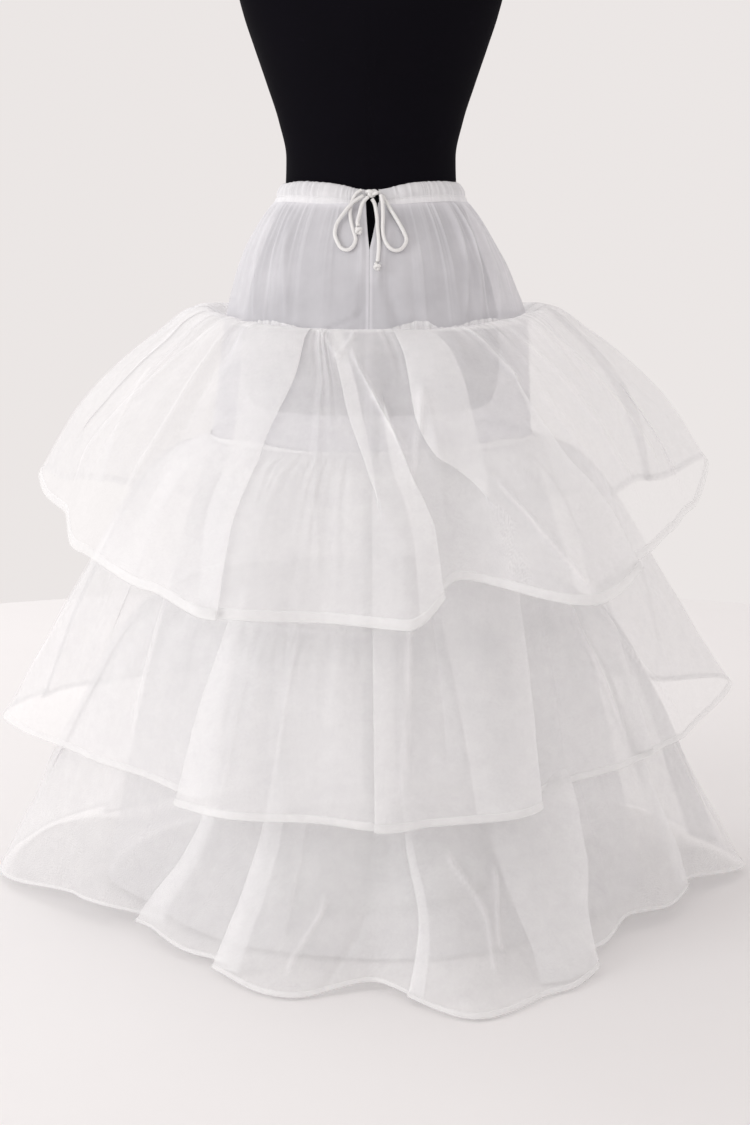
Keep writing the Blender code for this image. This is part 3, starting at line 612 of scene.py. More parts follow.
def addWaistCasing():
    look = waistCasing
    # outer face from the foot up, over the fold, and down the inner face
    up = np.concatenate((np.linspace(0, look["foldStart"], look["outerRows"]), [0.985, 1.0, 0.985],
                         np.linspace(look["foldStart"], look["innerFoot"], look["innerRows"])))[::-1, None]
    side = np.concatenate((np.ones(look["outerRows"]), [0.7, 0.0, -0.7],
                           -np.ones(look["innerRows"])))[::-1, None]
    angles = np.linspace(look["startAngle"], look["endAngle"], look["columns"] + 1)[None, :]
    turn = np.radians(angles)
    foot = look["foot"] + casingLift("footLift", angles)
    level = foot + (look["top"] + casingLift("topLift", angles) - foot) * up
    wander = turn + look["waver"] * (np.sin(7 * turn + 1) / 7 + np.sin(17 * turn) / 19
                                     + np.sin(31 * turn + 2) / 40)
    slant = look["slant"] * np.sin(5 * turn + 0.9)
    phase = wander * look["folds"] + slant * up + 0.6 * np.sin(23 * turn)
    ridge = (0.5 + 0.5 * np.sin(phase)) ** 2.5
    ridge = ridge + 0.5 * (0.5 + 0.5 * np.sin(phase * 0.618 + 2 + 1.5 * up)) ** 4
    ridge = ridge * (0.7 + 0.3 * np.sin(11 * turn + 0.8) * np.cos(5 * turn))
    pinch = np.exp(-((up - look["stitchUp"]) / look["pinchReach"]) ** 2)
    below = 1 - ease((up - look["stitchUp"]) / 0.1)
    fullness = np.sin(np.pi * np.clip((up - look["stitchUp"]) / (1.12 - look["stitchUp"]), 0, 1)) ** 0.7
    outside = np.clip(side, 0, 1)
    highest, lowest = body["casing"][0][0], body["casing"][-1][0]
    ground = bodyRadius(body["casing"], lowest + (highest - lowest) * up, angles)
    radius = ground + side * look["wall"] * 0.8 + outside * (
        look["puff"] * fullness + look["foldDepth"] * ridge * (0.25 + 0.75 * fullness) * (1 - 0.85 * pinch)
        - look["stitchPinch"] * pinch + look["footFlare"] * below)
    radius = np.maximum(radius, ground - look["wall"])
    points = polar(angles, radius, level + look["edgeRipple"] * ridge * ease(up))
    uvMap = np.stack((runLength(points, 1), runLength(points, 0)), axis=-1)
    density = look["cover"] + look["foldCover"] * ridge + look["footCover"] * below
    mesh, bm = bendGrid("waistCasing", points, uvMap, density=density)
    piece = finishPiece("waistCasing", mesh, bm, casingCloth, ("waist_casing",))
    row = max(k for k in range(len(up)) if side[k, 0] == 1 and up[k, 0] >= look["stitchUp"])
    stitches = addStitches("casingStitches", points[row], surfaceNormals(points)[row],
                           look["stitchLength"], look["stitchGap"], look["stitchThick"])


def addStitches(name, line, normals, length, gap, thick):
    # one small beveled thread after another along a line
    run = np.concatenate(([0.0], np.cumsum(np.linalg.norm(np.diff(line, axis=0), axis=1))))
    marks = np.arange(length / 2, run[-1] - length / 2, length + gap)

    def along(values, at):
        return np.stack([np.interp(at, run, values[:, axis]) for axis in range(3)], axis=-1)

    mesh = bpy.data.meshes.new(name)
    bm = bmesh.new()
    first, last = along(line, marks - length / 2), along(line, marks + length / 2)
    out = along(normals, marks)
    for start, end, up in zip(first, last, out):
        ahead = Vector(end - start)
        size = ahead.length
        if size < 1e-5:
            continue
        ahead.normalize()
        up = Vector(up)
        up = (up - ahead * up.dot(ahead)).normalized()
        middle = Vector((start + end) / 2) + up * thick * 0.4
        turn = Matrix((ahead, up.cross(ahead), up)).transposed().to_4x4()
        turn.translation = middle
        made = bmesh.ops.create_cone(bm, cap_ends=True, segments=5, radius1=thick, radius2=thick, depth=size)
        lay = Matrix.Rotation(math.radians(90), 4, "Y")
        bmesh.ops.transform(bm, matrix=turn @ lay, verts=made["verts"])
    return finishPiece(name, mesh, bm, stitchThread)


addWaistCasing()
print("waist casing ruched")


# the yoke: two halves gathered into the casing, seamed at front and back, slit open at the front
yoke = {
    "columns": 460, "rows": 88, "foot": 0.643, "top": 0.9868, "casingEdge": 0.9818, "slitFoot": 0.921,
    "leftTop": -4.0, "rightTop": 5.8, "centre": -0.8, "gatherDepth": 0.0024, "gathers": 104,
    "gatherReach": 0.105, "gatherLean": 85.0, "fullestAngle": 66.0, "fullestReach": 26.0,
    "hemWidth": 0.0045, "seamWidth": 0.0045, "edgeFade": 0.0005, "tuck": 0.0009, "swing": 0.0011,
    "hemCover": 0.55, "gatherCover": 0.62, "foldCover": 0.13, "cloudCover": 0.08, "topCover": 0.8,
    "topReach": 0.0045, "cloudSize": 0.05, "flat": (0.76, 0.36),
    # soft folds: depth, width, then rows of height and angle
    "folds": [
        (0.0035, 0.006, [(0.975, 66), (0.90, 57), (0.82, 48)]),
        (0.0030, 0.005, [(0.975, 58), (0.90, 50), (0.83, 42)]),
        (0.0035, 0.006, [(0.975, 76), (0.90, 67), (0.82, 58)]),
        (-0.0030, 0.007, [(0.972, 71), (0.89, 62), (0.82, 53)]),
        (0.0030, 0.007, [(0.972, -56), (0.90, -46), (0.82, -38)]),
        (0.0030, 0.006, [(0.972, -72), (0.88, -62), (0.82, -55)]),
        (-0.0025, 0.008, [(0.970, -64), (0.88, -54), (0.82, -47)]),
        (0.0032, 0.010, [(0.965, -10), (0.93, -6), (0.89, -2.5)]),
        (0.0028, 0.009, [(0.955, 12), (0.92, 7), (0.88, 2.5)]),
        (-0.0026, 0.010, [(0.90, 6), (0.86, 9), (0.82, 13)]),
        (-0.0030, 0.008, [(0.838, -3), (0.828, -9), (0.816, -18)]),
        (0.0022, 0.010, [(0.90, -7), (0.85, -8), (0.82, -9)]),
        (0.0025, 0.008, [(0.93, 26), (0.88, 24), (0.82, 23)]),
        (0.0030, 0.008, [(0.97, 130), (0.88, 124), (0.82, 118)]),
        (0.0030, 0.008, [(0.97, -120), (0.88, -114), (0.82, -108)]),
        (-0.0030, 0.009, [(0.97, 158), (0.88, 160), (0.82, 162)]),
        (0.0030, 0.009, [(0.96, -150), (0.86, -152), (0.80, -153)]),
    ],
}


def yokeEdge(height, sign):
    top = yoke["leftTop"] if sign < 0 else yoke["rightTop"]
    share = np.clip((height - yoke["slitFoot"]) / (body["casing"][-1][0] - yoke["slitFoot"]), 0, 1)
    gap = np.degrees(seamGap / 2 / bodyRadius(body["yoke"], height, 0.0))
    foot = yoke["centre"] + sign * gap
    return foot + (top - foot) * share


def addYokeHalf(name, sign, node, seed):
    look = yoke
    share = np.linspace(0, 1, look["columns"] + 1)[None, :]
    share = share if sign > 0 else 1 - share
    level = np.linspace(0, 1, look["rows"] + 1)[:, None] ** 1.15
    dip = casingLift("footLift", sign * 180 * share) * (1 - ease(level / 0.25))
    heights = look["top"] + dip + (look["foot"] - look["top"]) * level
    start = yokeEdge(heights, sign)
    gap = np.degrees(seamGap / 2 / bodyRadius(body["yoke"], heights, 180.0))
    angles = start + (sign * (180 - gap) - start) * share
    # the top tucks in behind the casing's foot
    radius = bodyRadius(body["yoke"], heights, angles)
    behind = np.minimum(radius, bodyRadius(body["casing"], heights - dip, angles) + look["tuck"])
    radius = np.where(heights < look["casingEdge"], radius, behind)
    fall = np.maximum(look["casingEdge"] - heights + dip, 0)
    turn = np.radians(angles + look["gatherLean"] * fall * np.sin(np.radians(angles)))
    wander = turn + 0.5 * np.sin(7 * turn + seed) / 11 + 0.6 * np.sin(19 * turn + 2 * seed) / 23
    wander = wander + 0.35 * np.sin(41 * turn + 3 * seed) / 43
    phase = wander * look["gathers"] / 2
    # gathered most at the hips, least beside the front opening
    fullest = (np.abs(np.degrees(turn)) - look["fullestAngle"]) / look["fullestReach"]
    crowd = 0.25 + 0.75 * np.exp(-fullest ** 2) + 0.35 * (np.cos(turn) < -0.2)
    crowd = crowd * (0.7 + 0.3 * np.sin(13 * turn + seed) * np.sin(29 * turn + 1.7 * seed))
    reach = look["gatherReach"] * (0.75 + 0.55 * np.sin(17 * turn + seed) * np.sin(37 * turn + 2.3 * seed))
    near = np.exp(-(fall / np.maximum(reach, 0.02)) ** 1.5)
    ridge = (0.5 + 0.5 * np.sin(phase)) ** 3 + 0.6 * (0.5 + 0.5 * np.sin(1.618 * phase + seed)) ** 4
    edge = np.clip(np.minimum(share, 1 - share) * 40, 0, 1) * ease(fall / 0.006)
    radius = radius + look["gatherDepth"] * near * ridge * crowd * edge
    broad = np.sin(turn * 19 + seed) * np.sin(turn * 8 + 2.1 * seed)
    settled = 1 - 0.6 * ease((fall - 0.13) / 0.1)
    radius = radius + look["swing"] * broad * ease(fall / 0.1) * edge * settled
    lines = 0.0
    for depth, width, rows in look["folds"]:
        rows = sorted(rows)
        places = [row[0] for row in rows]
        away = np.radians(signedTurn(angles, throughRows(places, [row[1] for row in rows], heights))) * radius
        span = places[-1] - places[0]
        along = ease((heights - places[0] + 0.02) / (0.4 * span))
        along = along * ease((places[-1] + 0.01 - heights) / (0.3 * span))
        radius = radius + depth * np.exp(-(away / width) ** 2) * along * edge
        lines = lines + max(depth, 0) / 0.003 * np.exp(-(away / (0.45 * width)) ** 2) * along
    points = polar(angles, radius, heights)
    away = np.minimum(share, 1 - share) * runLength(points, 1)[:, -1:]
    width = np.where(heights > look["slitFoot"], look["hemWidth"], look["seamWidth"])
    doubled = look["hemCover"] / (1 + np.exp((away - width) / look["edgeFade"]))
    density = 1 + doubled + look["gatherCover"] * near * ridge * crowd + look["foldCover"] * lines
    density = density + look["cloudCover"] * noiseGrid(points, look["cloudSize"], seed)
    density = density + look["topCover"] * np.exp(-(fall / look["topReach"]))
    uvMap = np.stack((runLength(points, 1), runLength(points, 0)), axis=-1)
    mesh, bm = bendGrid(name, points, uvMap, density=density)
    piece = finishPiece(name, mesh, bm, yokeCloth, (node,))


addYokeHalf("yokeLeft", -1, "yoke_left", 1)
addYokeHalf("yokeRight", 1, "yoke_right", 2)
print("yoke gathered")


# the flounces. profile: part of the length, then how far out and down at the front and at the sides.
# folds: angle, radius and height of each crest and hollow of the hem.
# pleats: facing, home angle, width, depth, growth, then rows of part, centre angle and overlap.
# creases: depth (out is positive), width, then rows of part and angle.
underNet = {
    "name": "underNet", "seam": 0.643 - seamGap, "growth": 1.0, "gathers": 0, "gatherDepth": 0.0,
    "profile": [(0.00, 0.00, 0.00, 0.00, 0.00), (0.30, 0.34, 0.30, 0.36, 0.30),
                (0.65, 0.69, 0.65, 0.71, 0.65), (1.00, 1.00, 1.00, 1.00, 1.00)],
    "folds": [(-162, 0.385, 0.008), (-128, 0.398, 0.008), (-92, 0.388, 0.008), (-60, 0.346, 0.010),
              (-22, 0.372, 0.008), (14, 0.382, 0.007), (48, 0.366, 0.009), (86, 0.392, 0.008),
              (126, 0.398, 0.008), (160, 0.390, 0.008)],
    "pleats": [], "creases": [], "columns": 300, "rows": 46, "fineGathers": 74, "fineDepth": 0.0020,
    "crinkle": 0.0022, "tape": 0.0, "seed": 4, "gatherCover": 0.6, "flat": (2.45, 0.66),
}
upperFlounce = {
    "name": "upperFlounce", "seam": 0.813, "growth": 2.0, "gathers": 26, "gatherDepth": 0.0075,
    "profile": [(0.00, 0.00, 0.00, 0.00, 0.00), (0.07, 0.13, -0.02, 0.10, -0.10),
                (0.27, 0.42, 0.12, 0.34, 0.07), (0.50, 0.66, 0.34, 0.60, 0.31),
                (0.75, 0.87, 0.64, 0.83, 0.62), (1.00, 1.00, 1.00, 1.00, 1.00)],
    "folds": [(-168, 0.432, 0.492), (-150, 0.462, 0.482), (-131, 0.441, 0.530), (-112, 0.470, 0.560),
              (-93, 0.466, 0.597), (-72, 0.447, 0.566), (-55, 0.468, 0.531), (-39, 0.452, 0.496),
              (-25, 0.466, 0.471), (-8, 0.418, 0.464), (6, 0.436, 0.461), (17, 0.404, 0.512),
              (36, 0.474, 0.484), (55, 0.444, 0.516), (70, 0.452, 0.540), (94, 0.478, 0.612),
              (113, 0.448, 0.560), (131, 0.468, 0.516), (152, 0.434, 0.500), (172, 0.462, 0.470)],
    "pleats": [
        (1, -26.5, 11.0, 0.015, 0.7, [(0, -31, 12), (0.08, -31, 15.6), (0.33, -25.5, 11.6),
                                      (0.55, -25, 8.2), (0.77, -27, 7.6), (1, -26.5, 6.6)]),
        (-1, 0.0, 4.0, 0.008, 0.6, [(0, -7, 3.0), (0.12, -6.0, 3.2), (0.35, -2.5, 3.0), (0.55, 1.0, 2.2),
                                    (0.72, 3, 0.8), (0.8, 4, 0), (1, 4, 0)]),
        (1, 9.0, 6.5, 0.034, 1.4, [(0, 7, 0), (0.25, 7, 0), (0.42, 7, 2.4), (0.62, 7.6, 3.4), (1, 9, 4.0)]),
        (-1, 24.8, 9.0, 0.013, 0.6, [(0, 17.5, 8), (0.07, 17.5, 9.5), (0.23, 20, 10.3), (0.43, 19.8, 10.0),
                                     (0.59, 21, 8.5), (0.72, 24.3, 4.2), (0.82, 25, 0), (1, 25, 0)]),
        (1, 46.0, 9.0, 0.028, 1.2, [(0, 38, 0), (0.25, 38, 2.5), (0.34, 38, 3.8), (0.58, 39, 5.5),
                                    (0.8, 41.5, 8.0), (1, 45, 10.0)]),
        (-1, 77.0, 6.0, 0.010, 1.0, [(0, 74, 0), (0.3, 74, 0), (0.55, 75, 2.6), (0.85, 77, 2.2),
        (1, 78, 1.0)]),
        (1, 112.0, 7.0, 0.014, 0.9, [(0, 106, 4), (0.2, 107, 6), (0.6, 110, 6.5), (1, 113, 5)]),
        (1, 148.0, 7.0, 0.034, 1.4, [(0, 146, 0), (0.35, 146, 0), (0.6, 147, 3.4), (1, 148, 4.6)]),
        (-1, -166.0, 8.0, 0.014, 0.8, [(0, -160, 6), (0.2, -161, 8), (0.5, -164, 7), (1, -167, 5.5)]),
        (-1, -118.0, 7.0, 0.034, 1.4, [(0, -114, 0), (0.35, -115, 0), (0.6, -116, 3.4), (1, -118, 4.6)]),
        (1, -76.0, 6.0, 0.008, 0.9, [(0, -70, 2), (0.25, -71, 3.4), (0.6, -75, 3.0), (0.88, -77, 0),
        (1, -77, 0)]),
    ],
    "creases": [
        (0.006, 0.005, [(0.02, -31), (0.10, -17), (0.20, -9.5)]),
        (0.006, 0.005, [(0.02, -6.5), (0.12, -5.5), (0.20, -8.5)]),
        (0.006, 0.005, [(0.19, -5), (0.29, -1.5), (0.42, 3)]), (0.005, 0.005, [(0.36, 0.8), (0.54, 7)]),
        (0.006, 0.005, [(0.36, 11.5), (0.46, 10.5), (0.62, 8.5)]),
        (0.006, 0.006, [(0.70, 24.5), (0.80, 29), (0.95, 36)]),
        (0.005, 0.008, [(0.04, 30), (0.18, 34), (0.34, 37)]),
        (0.006, 0.008, [(0.04, -52), (0.3, -57), (0.6, -64), (0.92, -70)]),
        (0.006, 0.008, [(0.04, -48), (0.2, -46), (0.45, -45), (0.8, -48)]),
        (-0.004, 0.012, [(0.15, -60), (0.8, -61)]), (0.004, 0.008, [(0.05, -66), (0.3, -74), (0.5, -79)]),
        (0.006, 0.008, [(0.05, 44), (0.3, 50), (0.6, 55), (0.9, 60)]),
        (0.005, 0.008, [(0.1, 58), (0.5, 66), (0.85, 71)]),
        (0.005, 0.008, [(0.35, 42), (0.6, 46), (0.9, 52)]),
        (0.004, 0.008, [(0.05, 66), (0.4, 76), (0.8, 84)]),
        (0.004, 0.006, [(0.12, 40), (0.24, 43), (0.36, 45)]),
        (0.004, 0.010, [(0.3, 12), (0.6, 13.5), (0.9, 15)]),
        (0.004, 0.010, [(0.2, -12), (0.6, -11), (0.9, -9)]),
        (-0.004, 0.010, [(0.1, -42), (0.5, -41), (0.85, -43)]),
        (0.005, 0.012, [(0.08, 96), (0.7, 99)]), (-0.005, 0.010, [(0.2, 128), (0.85, 126)]),
        (0.005, 0.010, [(0.1, 165), (0.75, 170)]), (0.005, 0.012, [(0.1, -140), (0.8, -143)]),
        (-0.005, 0.010, [(0.15, -98), (0.85, -95)]),
    ],
    "columns": 900, "rows": 84, "fineGathers": 118, "fineDepth": 0.0032, "crinkle": 0.0030,
    "tape": 0.009, "seed": 1, "node": "tier_1", "flat": (3.30, 0.44), "tapeName": "upperHemTape",
    "headSlope": 0.22, "headCover": 2.4, "gatherCover": 0.9,
    "heading": [(-170, 0.004), (-140, 0.007), (-110, 0.003), (-90, 0.001), (-62, 0.002), (-50, 0.009),
                (-44, 0.0095),
                (-36, 0.006), (-27, 0.0015), (-15, 0.0), (-2, 0.0005), (5, 0.001), (9, 0.004), (14, 0.008),
                (21, 0.0125), (25, 0.010), (29, 0.003), (36, 0.0045), (46, 0.011), (53, 0.012), (62, 0.006),
                (78, 0.002), (100, 0.004), (128, 0.008), (152, 0.003)],
}
middleFlounce = {
    "name": "middleFlounce", "seam": 0.652, "growth": 2.4, "gathers": 25, "gatherDepth": 0.0060,
    "profile": [(0.00, 0.00, 0.00, 0.00, 0.00), (0.10, 0.20, 0.05, 0.21, 0.05),
                (0.30, 0.48, 0.23, 0.48, 0.25), (0.53, 0.68, 0.48, 0.70, 0.52),
                (0.77, 0.86, 0.74, 0.87, 0.77), (1.00, 1.00, 1.00, 1.00, 1.00)],
    "folds": [(-165, 0.452, 0.214), (-146, 0.486, 0.220), (-124, 0.470, 0.236), (-106, 0.512, 0.240),
              (-90, 0.530, 0.243), (-70, 0.436, 0.222), (-54, 0.410, 0.216), (-36, 0.412, 0.205),
              (-24, 0.420, 0.204), (-11, 0.408, 0.203), (2, 0.426, 0.199), (12, 0.408, 0.201),
              (24, 0.418, 0.203), (44, 0.392, 0.214), (60, 0.414, 0.222), (80, 0.462, 0.234),
              (96, 0.536, 0.280), (114, 0.480, 0.250), (134, 0.500, 0.226), (156, 0.450, 0.212),
              (176, 0.476, 0.206)],
    "pleats": [
        (-1, -35.0, 8.0, 0.050, 1.4, [(0, -29, 0), (0.35, -29, 2), (0.54, -30.5, 4.8), (0.8, -33, 5.8),
                                      (1, -34.3, 6.4)]),
        (-1, 2.3, 5.0, 0.010, 0.6, [(0, 2.5, 3), (0.3, 2.8, 4), (0.51, 2.8, 4.3), (1, 2.2, 3.7)]),
        (1, 26.0, 10.0, 0.047, 1.3, [(0, 24, 8), (0.2, 24, 12), (0.44, 25, 13.9), (0.7, 25.5, 12),
                                     (1, 26, 10.2)]),
        (1, 64.0, 6.0, 0.012, 0.9, [(0, 58, 2), (0.4, 60, 3.2), (1, 66, 4.2)]),
        (-1, 128.0, 7.0, 0.044, 1.4, [(0, 125, 0), (0.35, 126, 0), (0.6, 127, 3.4), (1, 128, 4.6)]),
        (1, 163.0, 8.0, 0.014, 0.8, [(0, 160, 6), (0.3, 161, 9), (1, 164, 6.5)]),
        (1, -142.0, 7.0, 0.044, 1.4, [(0, -140, 0), (0.35, -141, 0), (0.6, -141, 3.4), (1, -142, 4.6)]),
        (-1, -104.0, 7.0, 0.014, 0.8, [(0, -99, 4), (0.3, -100, 6.5), (1, -105, 5.5)]),
        (1, -68.0, 6.0, 0.006, 0.9, [(0, -62, 2), (0.4, -64, 3.0), (0.85, -69, 0), (1, -69, 0)]),
    ],
    "creases": [
        (0.006, 0.008, [(0.50, 58), (0.70, 68), (0.93, 78)]), (0.004, 0.010, [(0.3, -14), (0.9, -17)]),
        (-0.004, 0.012, [(0.35, 13), (0.85, 14)]), (0.005, 0.007, [(0.3, -50), (0.9, -56)]),
        (0.005, 0.006, [(0.42, 8.5), (0.70, 7), (0.95, 5)]),
        (0.005, 0.006, [(0.45, 49), (0.72, 55), (0.92, 60)]),
        (0.004, 0.008, [(0.45, -24), (0.95, -26)]), (-0.004, 0.010, [(0.4, 42), (0.9, 44)]),
        (0.005, 0.012, [(0.3, 106), (0.9, 110)]), (0.005, 0.012, [(0.2, 178), (0.85, 176)]),
        (-0.005, 0.010, [(0.25, -122), (0.85, -119)]), (0.005, 0.012, [(0.3, -84), (0.9, -88)]),
    ],
    "columns": 900, "rows": 84, "fineGathers": 124, "fineDepth": 0.0030, "crinkle": 0.0030,
    "tape": 0.009, "seed": 2, "node": "tier_2", "flat": (3.45, 0.50), "tapeName": "middleHemTape",
    "headSlope": 0.16, "headCover": 5.0, "gatherCover": 2.2,
    "heading": [(-165, 0.003), (-120, 0.006), (-80, 0.003), (-58, 0.006), (-48, 0.009), (-35, 0.004),
                (-20, 0.001),
                (0, 0.002), (12, 0.004), (28, 0.003), (40, 0.006), (52, 0.009), (70, 0.004), (110, 0.005),
                (150, 0.002)],
}
lowerFlounce = {
    "name": "lowerFlounce", "seam": 0.420, "growth": 3.0, "gathers": 26, "gatherDepth": 0.0060,
    "profile": [(0.00, 0.00, 0.00, 0.00, 0.00), (0.10, 0.12, 0.07, 0.18, 0.06),
                (0.33, 0.25, 0.30, 0.45, 0.27), (0.58, 0.40, 0.56, 0.70, 0.54),
                (0.80, 0.64, 0.79, 0.87, 0.79), (1.00, 1.00, 1.00, 1.00, 1.00)],
    "folds": [(-170, 0.486, 0.008), (-153, 0.522, 0.004), (-134, 0.492, 0.020), (-115, 0.544, 0.005),
              (-89, 0.540, 0.010), (-66, 0.462, 0.028), (-48, 0.404, 0.018), (-30, 0.440, 0.010),
              (-11, 0.506, 0.004), (0, 0.466, 0.012), (13, 0.582, 0.004), (26, 0.528, 0.004),
              (40, 0.482, 0.014), (54, 0.448, 0.026), (63, 0.472, 0.024), (74, 0.474, 0.030),
              (93, 0.560, 0.010), (112, 0.500, 0.018), (128, 0.530, 0.004), (146, 0.484, 0.016),
              (164, 0.530, 0.005), (178, 0.496, 0.010)],
    "pleats": [
        (-1, -48.5, 7.0, 0.036, 1.4, [(0, -38, 0), (0.4, -38, 2.5), (0.62, -38, 4.0), (0.75, -40.5, 4.6),
                                      (0.94, -47.2, 5.2), (1, -48.5, 5.4)]),
        (-1, -24.0, 6.5, 0.032, 1.4, [(0, -22, 0), (0.3, -22, 2.4), (0.59, -22, 4.2), (0.78, -23, 4.7),
                                      (1, -23.9, 5.2)]),
        (-1, 6.0, 4.0, 0.010, 0.8, [(0, 5, 2), (0.6, 5.5, 2.6), (0.83, 7.3, 2.6), (1, 6, 2.6)]),
        (1, 30.5, 10.0, 0.046, 1.3, [(0, 32, 8), (0.3, 34, 12), (0.57, 35, 15), (0.73, 34.5, 14),
                                     (0.9, 32, 10.5), (1, 30.4, 9.5)]),
        (1, 70.0, 6.0, 0.012, 0.9, [(0, 66, 2), (0.5, 67, 3.6), (1, 71, 4.4)]),
        (-1, 104.0, 7.0, 0.014, 0.8, [(0, 100, 4), (0.5, 102, 6), (1, 105, 5.5)]),
        (1, 137.0, 7.0, 0.046, 1.4, [(0, 135, 0), (0.35, 135, 0), (0.6, 136, 3.4), (1, 137, 4.6)]),
        (-1, 171.0, 8.0, 0.014, 0.8, [(0, 168, 5), (0.5, 170, 8), (1, 172, 6.5)]),
        (1, -158.0, 7.0, 0.014, 0.9, [(0, -155, 3), (0.5, -156, 5.5), (1, -159, 5)]),
        (-1, -125.0, 7.0, 0.042, 1.4, [(0, -123, 0), (0.35, -123, 0), (0.6, -124, 3.4), (1, -125, 4.6)]),
        (1, -88.0, 7.0, 0.008, 0.9, [(0, -83, 2), (0.5, -85, 3.4), (0.85, -88, 0), (1, -88, 0)]),
    ],
    "creases": [
        (0.004, 0.008, [(0.55, 5.5), (0.82, 7.5), (0.97, 12)]), (-0.005, 0.007, [(0.86, -1), (0.98, -6.5)]),
        (0.004, 0.010, [(0.4, -12), (0.9, -14)]), (0.005, 0.006, [(0.66, 14), (0.80, 18), (0.90, 17)]),
        (0.005, 0.006, [(0.72, 22), (0.86, 19)]), (0.005, 0.006, [(0.80, -8), (0.92, -12)]),
        (-0.004, 0.010, [(0.4, 49), (0.9, 52)]), (0.005, 0.012, [(0.4, 84), (0.9, 88)]),
        (0.004, 0.012, [(0.4, -66), (0.9, -70)]), (0.005, 0.012, [(0.3, 122), (0.9, 120)]),
        (-0.005, 0.012, [(0.3, -140), (0.9, -143)]), (0.005, 0.012, [(0.35, -106), (0.9, -104)]),
        (0.005, 0.012, [(0.3, 156), (0.9, 158)]),
    ],
    "columns": 900, "rows": 84, "fineGathers": 130, "fineDepth": 0.0028, "crinkle": 0.0032,
    "tape": 0.005, "seed": 3, "node": "tier_3", "flat": (3.75, 0.46), "tapeName": "lowerHemTape",
    "headSlope": 0.55, "headCover": 3.0, "gatherCover": 1.2,
    "heading": [(-160, 0.002), (-110, 0.005), (-60, 0.003), (-20, 0.004), (10, 0.002), (45, 0.005),
                (90, 0.002),
                (130, 0.005)],
}


# what the flounces share: fine gathers, creases, buckles, headings and tapes
drape = {
    "gatherReach": 0.16, "reachSwing": 0.10, "creaseLine": 0.0042, "deepCrease": 0.0045,
    "buckleSize": 0.085, "dentSize": 0.045, "dentShare": 0.45, "creaseCover": 0.6,
    "seamCover": 0.5, "seamReach": 0.02, "headRows": (1.0, 0.62, 0.3), "headLeast": 0.0010,
    "headRipple": 0.0011, "headFlare": 0.0014, "flareRipple": 0.0012, "headUneven": 0.6,
    "tapeOverlap": 0.4, "tapeSmooth": 6,
    # the folded tape: share of its width up from the hem, and distance from the net
    "tapeSection": [(1.00, 0.0006), (0.97, 0.0010), (0.80, 0.0011), (0.55, 0.0009), (0.30, 0.0011),
                    (0.08, 0.0010), (0.0, 0.0), (0.08, -0.0010), (0.30, -0.0011), (0.55, -0.0009),
                    (0.80, -0.0011), (0.97, -0.0010), (1.00, -0.0006)],
}


def hemAt(folds, angle):
    starts = np.array([row[0] for row in folds] + [folds[0][0] + 360.0])
    turned = starts[0] + (angle - starts[0]) % 360
    row = np.clip(np.searchsorted(starts, turned, side="right") - 1, 0, len(folds) - 1)
    share = ease((turned - starts[row]) / (starts[row + 1] - starts[row]))
    values = []
    for k in (1, 2):
        column = np.array([fold[k] for fold in folds] + [folds[0][k]])
        values.append(column[row] + (column[row + 1] - column[row]) * share)
    return values


def evenRadius(folds, angle):
    return sum(hemAt(folds, angle + step)[0] for step in range(-30, 31, 10)) / 7


def seamRadius(tier, angle):
    if tier is underNet:
        return bodyRadius(body["yoke"], body["yoke"][-1][0], angle)
    if tier is lowerFlounce:
        hem = hemAt(underNet["folds"], angle)[1]
        part = (underNet["seam"] - tier["seam"]) / (underNet["seam"] - hem)
        return flouncePoint(underNet, angle, part)[0] + netWall + seamGap
    return bodyRadius(body["yoke"], tier["seam"], angle) + yokeWall / 2 + netWall / 2 + seamGap


def pleatCalm(tier, station, part):
    # 1 on open cloth, near 0 where a pleat's layers lie close together
    calm = np.ones_like(station * part)
    for facing, home, width, depth, growth, rows in tier["pleats"]:
        lap = throughRows([row[0] for row in rows], [row[2] for row in rows], part)
        near = np.exp(-(signedTurn(station, home) / (1.25 * width)) ** 4)
        calm = calm * (1 - 0.9 * near * ease(lap / 2.5))
    return calm


def flouncePoint(tier, station, part):
    # radius, height and angle of the cloth, on the same sums as the solids; flounceSurface puts the finer
    # folds on top
    angle = station + np.zeros_like(part)
    step = np.zeros_like(angle)
    for facing, home, width, depth, growth, rows in tier["pleats"]:
        away = signedTurn(station, home)
        places = [row[0] for row in rows]
        lap = throughRows(places, [row[2] for row in rows], part)
        drift = throughRows(places, [row[1] for row in rows], part) - home
        inside = np.abs(away) < width
        angle = angle - np.where(inside, lap * np.sin(np.pi * away / width), 0.0)
        angle = angle + drift * np.exp(-(away / (2.4 * width)) ** 2)
        fade = np.exp(-(away / (3.5 * width)) ** 2)
        step = step - facing * np.tanh(2.2 * away / width) * fade * depth / 2 * part ** growth
    side = np.sin(np.radians(angle)) ** 4
    places = [row[0] for row in tier["profile"]]
    out, drop = (throughRows(places, [row[k] for row in tier["profile"]], part)
                 + throughRows(places, [row[k + 2] - row[k] for row in tier["profile"]], part) * side
                 for k in (1, 2))
    seam = seamRadius(tier, angle)
    hemRadius, hemHeight = hemAt(tier["folds"], angle)
    level = evenRadius(tier["folds"], angle)
    gather = 0.5 - 0.5 * np.cos(np.radians(station) * tier["gathers"])
    puff = tier["gatherDepth"] * gather * np.exp(-((part - 0.12) / 0.34) ** 2) * np.minimum(part / 0.07, 1)
    radius = seam + (level - seam) * out + (hemRadius - level) * part ** tier["growth"] + step + puff
    return radius, tier["seam"] + (hemHeight - tier["seam"]) * drop, angle


